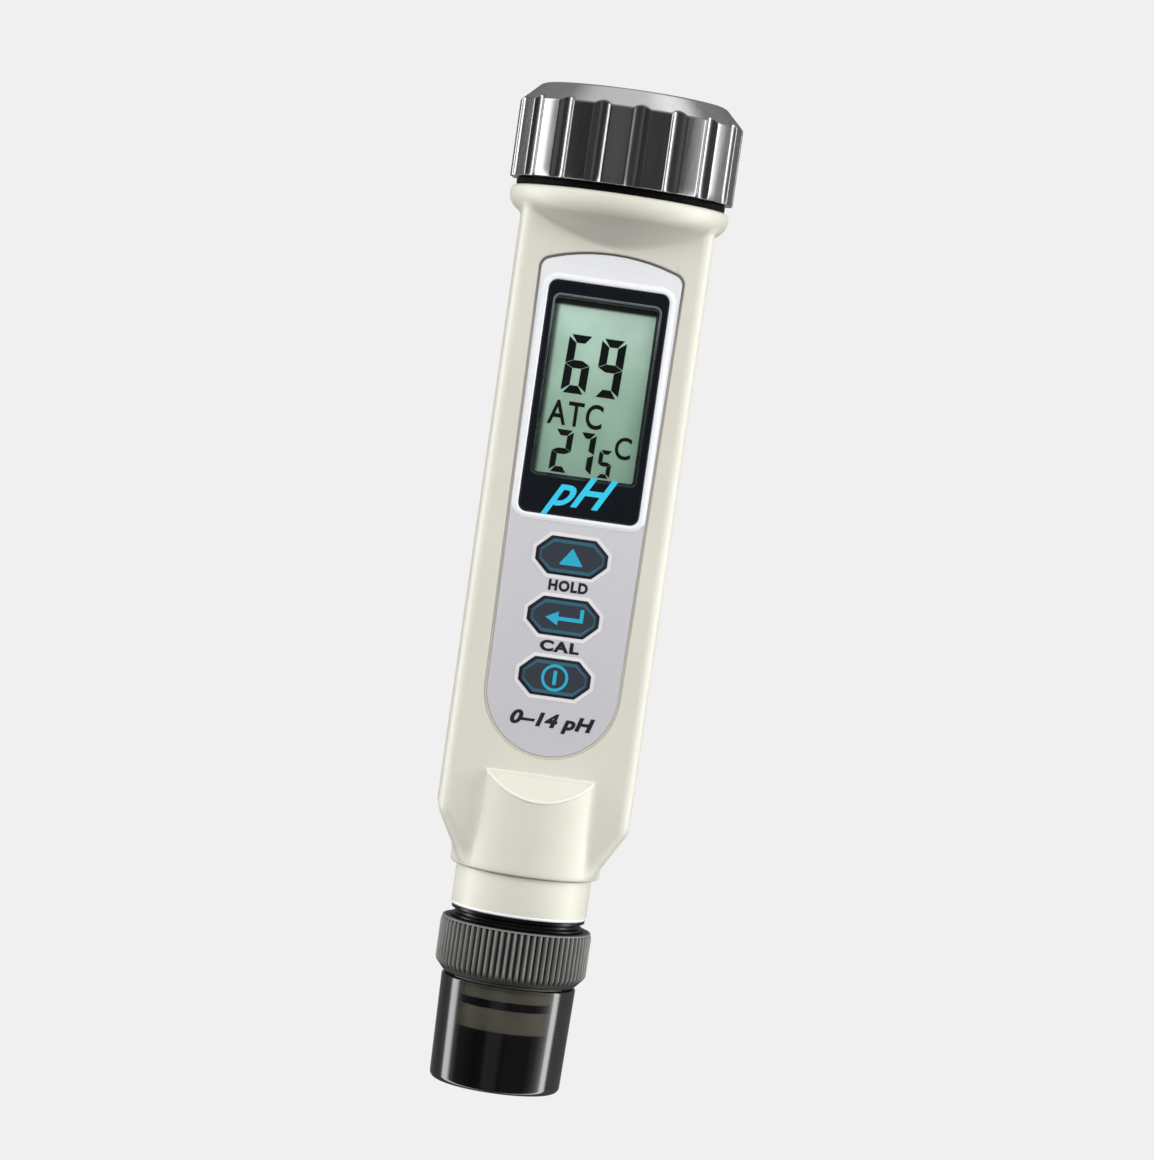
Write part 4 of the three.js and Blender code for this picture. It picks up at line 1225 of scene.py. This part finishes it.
def probe_cap():
    """The smoked storage cap: a slightly tapered cup with a rounded foot and a thick rim."""
    radius, foot, top = extent("probe_cap")
    base = radius_at("probe_cap", foot + 1.3)
    wall, floor = 1.55, foot_of("storage_sponge") - 0.1
    return lathe("storage_cup", "smoked_plastic", "probe_cap", [
        (0, foot + 0.25, 0), (base - 2.6, foot + 0.25, 0.2), (base - 2.4, foot, 0.2),
        (base, foot, 1.1), (radius, top, 0.3), (radius - wall, top, 0.3), (base - wall, floor, 0.6),
        (0, floor, 0),
    ])


def sponge():
    radius, foot, top = extent("storage_sponge")
    corners = [(0, foot, 0), (radius, foot, 0.3), (radius, top, 0.4), (0, top, 0)]
    return lathe("damp_pad", "sponge", "storage_sponge", corners)


# ---------- the finishes ----------


def label_film():
    """The printed film: silver grey below the window, nearly white beside and above it."""
    nodes = Finish("label_film")
    split = foot_of("display_frame")
    low_print = nodes.height(foot_of("face_label"), split)
    grey = nodes.ramp(low_print, [(0.0, srgb(201, 200, 205)), (1.0, srgb(212, 211, 215))])
    tint = nodes.mix(nodes.height(split + 0.1, split + 0.4), grey, srgb(238, 239, 242))
    flake = nodes.noise(1800, 2)
    colour = nodes.times(tint, nodes.vary(flake, 0.975, 1.02))
    return nodes.finish(colour, nodes.vary(flake, 0.38, 0.48), flake, 0.000006)


def lcd_glass():
    """The liquid crystal screen: pale green, deeper towards its lower end, with the frame's shadow painted
    along its top and left edges and a faint painted glow."""
    nodes = Finish("lcd_glass")
    low, high = screen_box()
    tint = nodes.ramp(nodes.height(low[2], high[2]), [
        (0.0, srgb(128, 158, 141)), (0.45, srgb(144, 174, 156)),
        (0.8, srgb(170, 198, 183)), (1.0, srgb(180, 205, 193)),
    ])
    along = nodes.add("SeparateXYZ", {"Vector": nodes.place()}, output="X")
    # Painted shadow of the frame: the colour darkens across the top edge and towards the left edge.
    to_top = nodes.height(high[2] - 1.4, high[2] - 0.8)
    under_top = nodes.share(to_top, 0, 1, 1, 0.02, soft=True)
    beside_left = nodes.share(along, (low[0] + 0.1) * MM, (low[0] + 1.0) * MM, 0.15, 1, soft=True)
    grain = nodes.noise(2200, 2)
    painted_frame_shadow = nodes.math("MULTIPLY", under_top, beside_left)
    colour = nodes.times(tint, nodes.math("MULTIPLY", painted_frame_shadow, nodes.vary(grain, 0.97, 1.03)))
    # A faint painted glow: the screen gives off part of its own colour, though it is no lamp.
    return nodes.finish(colour, 0.5, grain, 0.000005, Emission_Color=colour, Emission_Strength=0.3)


def shaded(name, low, high, roughness, stops):
    """A plain finish whose colour changes through stops from one height to another."""
    nodes = Finish(name)
    return nodes.grained(nodes.ramp(nodes.height(low, high), stops), 1500, roughness, 0.000006)


def label_gap_painted_shade():
    """Painted shade for the gap round the label: dark round its upper end, where the recess's edge would
    cast shadow, and paler towards its lower end.
    """
    low, high = place("face_label")
    return shaded("label_gap", low[2], high[2], (0.5, 0.6), [
        (0.0, srgb(214, 209, 196)), (0.3, srgb(186, 180, 172)), (0.85, srgb(164, 160, 156)),
        (1.0, srgb(92, 88, 88)),
    ])


def ribbed_rubber():
    """Grey rubber with painted shade: darker down in the grooves between the ribs."""
    nodes = Finish("ribbed_rubber")
    outer = radius_of("lock_ring")
    level = nodes.times(nodes.place(), (1, 1, 0))
    reach = nodes.add("VectorMath", {0: level}, output="Value", operation="LENGTH")
    # Painted shade: the colour darkens from the ribs' crests down towards the groove floors.
    depth = nodes.share(reach, (outer - 0.75) * MM, (outer - 0.1) * MM)
    tint = nodes.ramp(depth, [(0.0, srgb(52, 52, 51)), (1.0, srgb(130, 131, 127))])
    colour = nodes.times(tint, nodes.vary(nodes.noise(300, 3), 0.93, 1.07))
    return nodes.grained(colour, 2600, (0.46, 0.58), 0.000012)


def frame_step():
    """The bevel round the screen, with a painted highlight: paler towards its top, where it would catch the
    light.
    """
    low, high = screen_box()
    return shaded("frame_step", low[2] + 8, high[2] + 0.3, (0.25, 0.35), [
        (0.0, srgb(20, 23, 28)), (0.6, srgb(52, 50, 58)), (1.0, srgb(112, 114, 120)),
    ])


# Plain plastics, prints and rubbers: the colour, the roughness and what else sets each one apart.
PLAIN = {
    "white_plastic": ((225, 223, 210), 0.4, {"Coat_Weight": 0.15, "Coat_Roughness": 0.25}),
    # The white of the window's bead, and also a painted highlight on the collar's lip.
    "white_trim": ((246, 247, 250), 0.3, {}),
    # A painted highlight on the facet bead.
    "bright_edge": ((236, 235, 224), 0.45, {}),
    "pale_print": ((236, 234, 236), 0.45, {}),
    "dark_print": ((36, 36, 44), 0.5, {}),
    "cyan_print": ((52, 208, 244), 0.45, {}),
    "blue_print": ((44, 176, 208), 0.45, {}),
    "teal_print": ((52, 100, 118), 0.45, {}),
    "key_plastic": ((26, 30, 38), 0.42, {}),
    "key_film": ((54, 60, 70), 0.45, {}),
    "glossy_black": ((20, 24, 29), 0.16, {"change": 0.08}),
    "socket_black": ((7, 7, 8), 0.28, {"change": 0.1}),
    "black_plastic": ((24, 24, 26), 0.45, {"change": 0.1}),
    "grey_plastic": ((104, 104, 107), 0.5, {}),
    "grey_rubber": ((124, 125, 122), 0.5, {"change": 0.05}),
    "seal_rubber": ((6, 6, 7), 0.7, {"change": 0.12, "Specular_IOR_Level": 0.15}),
    "electrode_plastic": ((196, 195, 186), 0.6, {"change": 0.05}),
    "lcd_ink": ((8, 16, 12), 0.5, {"change": 0.1}),
    "circuit_board": ((32, 92, 56), 0.4, {"change": 0.12, "grain": 900}),
    "ceramic": ((228, 222, 212), 0.7, {"change": 0.06}),
    "sponge": ((40, 38, 33), 0.95, {"change": 0.35, "grain": 1400, "bump_height": 0.0003}),
}

# Metals in the same way.
METALS = {
    "dark_chrome": ((190, 191, 192), 0.22, {"stretch": (1, 1, 0.08), "change": 0.03}),
    "steel": ((190, 190, 186), 0.28, {"stretch": (1, 1, 0.1)}),
    "gold_plate": ((212, 172, 92), 0.3, {}),
    "reflector_foil": ((205, 205, 200), 0.35, {}),
}

# Clear panes: the tint where they face the viewer, the tint at their edges, the turns away from the viewer
# between which the one becomes the other, and the gloss added to the plain reflection.
PANES = {
    "display_lens": ((0.99, 0.995, 0.99, 1), (0.7, 0.74, 0.72, 1), (0.4, 1.0), 0.0),
    "bulb_glass": ((0.93, 0.96, 0.95, 1), (0.55, 0.62, 0.6, 1), (0.2, 0.9), 0.03),
}

# The material slots of the record whose finish goes by another name.
SLOT_FINISH = {
    "silver_label": "label_film", "chrome_cap": "dark_chrome", "clear_plastic": "display_lens",
    "lcd": "lcd_glass", "metal_foil": "reflector_foil", "gold_contact": "gold_plate",
    "electrode_glass": "bulb_glass",
}


def make_materials():
    made = {}
    for table, make in [(PLAIN, moulded), (METALS, metal)]:
        for name, (colour, roughness, more) in table.items():
            made[name] = make(name, srgb(*colour), roughness, **more)
    made |= {name: clear(name, *pane) for name, pane in PANES.items()}
    return made | {
        "label_film": label_film(),
        "label_gap": label_gap_painted_shade(),
        "lcd_glass": lcd_glass(),
        "ribbed_rubber": ribbed_rubber(),
        "frame_step": frame_step(),
        "smoked_plastic": smoked_plastic(),
    }


def finish_cad_nodes():
    """Gives every CAD node a finish, for those that are shown as they are."""
    for name, node in frame["nodes"].items():
        slot = SLOTS[name]
        node.data.materials.clear()
        node.data.materials.append(MATERIALS[SLOT_FINISH.get(slot, slot)])


# ---------- the studio ----------

BACKDROP = srgb(240, 240, 240)

# What shiny pieces reflect, level with the pen: the direction in degrees from the front, positive to the
# pen's right, and how bright the studio is there. Each side has a tall bright strip.
WALLS = [
    (-180, 0.22), (-150, 0.16), (-128, 0.15), (-114, 0.3), (-109, 3.4), (-98, 3.4), (-92, 0.4), (-80, 0.08),
    (-45, 0.03), (-30, 0.04), (-24, 0.13), (-4, 0.12), (3, 0.04), (12, 0.06), (50, 0.06), (64, 0.16),
    (76, 0.5), (84, 1.2), (87, 4.0), (96, 4.0), (101, 0.3), (125, 0.22), (150, 0.16), (180, 0.22),
]
BRIGHTEST = 4.0
CEILING_RISE = (0.3, 0.55)  # the upward slants between which the walls give way to the ceiling

# What they reflect from above: the ceiling's own brightness and its softboxes, each with the direction it
# hangs in, the nearness to that direction where it starts and where it is full, and the light it adds.
CEILING = 0.3
SOFTBOXES = [((0.03, 0.08, 1.0), 0.8, 0.95, 0.65), ((0.37, 0.17, 0.92), 0.96, 0.997, 0.7)]

# The light that falls on everything: the slants between which it changes, and its strength at each.
SKY_RISE = (-0.25, 0.35)
SKY_LIGHT = (0.07, 0.48)


def add_floor():
    """A plain pale floor, lower than the drawn-off storage cap reaches."""
    drop = max(joint["range_m"][1] for joint in frame["joints"] if joint["child"] == "probe_cap") / MM
    level = foot_of("probe_cap") - drop - 8
    half = 3000
    corners = [(-half, -half), (half, -half), (half, half), (-half, half)]
    rows = [[(x, y, z) for x, y in corners] for z in (level - 5, level)]
    floor = skin("floor", rows)
    nodes = Finish("floor")
    nodes.finish((0, 0, 0, 1), 1.0, Specular_IOR_Level=0.0, Emission_Color=BACKDROP, Emission_Strength=1.0)
    floor.data.materials.append(nodes.material)
    floor.visible_glossy = False
    floor.visible_diffuse = False
    floor.visible_shadow = False


def set_world():
    """A plain pale backdrop for the eye, a sky that lights from all sides but below, and a studio
    that only reflections show."""
    world = bpy.data.worlds.new("studio")
    bpy.context.scene.world = world
    nodes = Nodes(world)
    nodes.tree.nodes.clear()
    sight = nodes.add("TexCoord", output="Generated")
    x, y, z = (nodes.add("SeparateXYZ", {"Vector": sight}, output=axis) for axis in "XYZ")
    turn = nodes.math("ARCTAN2", x, nodes.math("MULTIPLY", y, -1.0))
    round_share = nodes.share(turn, -math.pi, math.pi)
    walls = nodes.ramp(round_share, [
        (0.5 + degrees / 360, (*[level / BRIGHTEST] * 3, 1)) for degrees, level in WALLS
    ])
    walls = nodes.math("MULTIPLY", walls, BRIGHTEST)
    ceiling = CEILING
    for direction, start, full, level in SOFTBOXES:
        towards = {0: sight, 1: Vector(direction).normalized()}
        nearness = nodes.add("VectorMath", towards, output="Value", operation="DOT_PRODUCT")
        ceiling = nodes.math("ADD", ceiling, nodes.share(nearness, start, full, 0, level, soft=True))
    room = nodes.add("Mix", {0: nodes.share(z, *CEILING_RISE), 2: walls, 3: ceiling})
    sky = nodes.share(z, *SKY_RISE, *SKY_LIGHT)
    is_camera, is_glossy = (
        nodes.add("LightPath", output=name) for name in ("Is Camera Ray", "Is Glossy Ray")
    )
    lit = nodes.add("Mix", {0: is_glossy, 2: sky, 3: room})
    light = nodes.add("Background", {"Color": (1, 1, 1, 1), "Strength": lit})
    backdrop = nodes.add("Background", {"Color": BACKDROP, "Strength": 1.0})
    seen = nodes.add("MixShader", {0: is_camera, 1: light, 2: backdrop})
    nodes.add("OutputWorld", {"Surface": seen}, output=None)


# The lamps, which reflections don't show: the direction in degrees from the front, positive to the pen's
# right, the height above the pen's middle, the distance and the size in metres, and the power in watts.
LAMPS = {
    "key": (-25, 0.44, 0.9, (0.6, 0.6), 3.25),
    "fill": (35, 0.32, 1.0, (0.8, 0.8), 3.6),
    "left_side": (-88, 0.02, 0.6, (0.4, 0.5), 2.75),
    "right_side": (80, 0.02, 0.6, (0.4, 0.5), 2.9),
    "overhead": (5, 0.5, 0.45, (0.6, 0.3), 0.3),
}


def add_lamps():
    """Soft lamps aimed at the pen's middle: from the front and above, and brighter from both sides."""
    middle = Vector((0, 0, top_of("battery_cap") * MM / 2))
    for name, (azimuth, height, distance, size, power) in LAMPS.items():
        lamp = bpy.data.lights.new(name, "AREA")
        lamp.shape = "RECTANGLE"
        lamp.size, lamp.size_y = size
        lamp.energy = power
        turn = math.radians(azimuth)
        reach = Vector((distance * math.sin(turn), -distance * math.cos(turn), height))
        holder = bpy.data.objects.new(name, lamp)
        holder.location = middle + reach
        holder.rotation_euler = (-reach).to_track_quat("-Z", "Y").to_euler()
        holder.visible_glossy = False
        holder.visible_camera = False
        bpy.context.scene.collection.objects.link(holder)


CAMERA_LENS = 126.9
CAMERA_DISTANCE = 0.730
CAMERA_YAW = math.radians(3)
CAMERA_HEIGHT = 0.1197
CAMERA_ROLL = math.radians(8.14)
CAMERA_AIM = Vector((0.002, 0, 0.0917))


def add_camera():
    """Almost square on to the face and level with the screen, tilted so that the pen leans to the right."""
    sight = Vector((math.sin(CAMERA_YAW), math.cos(CAMERA_YAW), 0))
    stand = Vector((0, 0, CAMERA_HEIGHT)) - sight * CAMERA_DISTANCE
    up = Vector((0, 0, 1))
    level = Matrix((sight.cross(up), up, -sight)).transposed()
    swing = sight.rotation_difference(CAMERA_AIM - stand).to_matrix()
    axes = swing @ level @ Matrix.Rotation(CAMERA_ROLL, 3, "Z")
    data = bpy.data.cameras.new("camera")
    data.lens = CAMERA_LENS
    data.clip_start = 0.01
    camera = bpy.data.objects.new("camera", data)
    camera.matrix_world = Matrix.Translation(stand) @ axes.to_4x4()
    bpy.context.scene.collection.objects.link(camera)
    bpy.context.scene.camera = camera


# ---------- building it ----------

MATERIALS = make_materials()
finish_cad_nodes()

housing_piece()
facet_bead()
neck_thread()
label_piece()
label_gap()
window_rim()
display_frame()
frame_bevel()
display_lens()
screen_reading()
quantity_sign()
label_lettering()
for key_node in KEYS:
    key_halo(key_node)
    keycap(key_node)
    key_face(key_node)
    key_line(key_node)
key_signs()
battery_cap()
cap_liner()
cap_seal()
end_collar()
collar_edge()
sensor_socket()
lock_ring()
electrode_body()
electrode_guard()
glass_bulb()
small_pins()
rubber_ring("cap_ring", "cap_o_ring")
rubber_ring("plug_seal", "plug_o_ring")
rubber_ring("collar_seal", "collar_o_ring")
probe_cap()
sponge()

add_floor()
set_world()
add_lamps()
add_camera()
bpy.context.scene.view_settings.view_transform = "Standard"
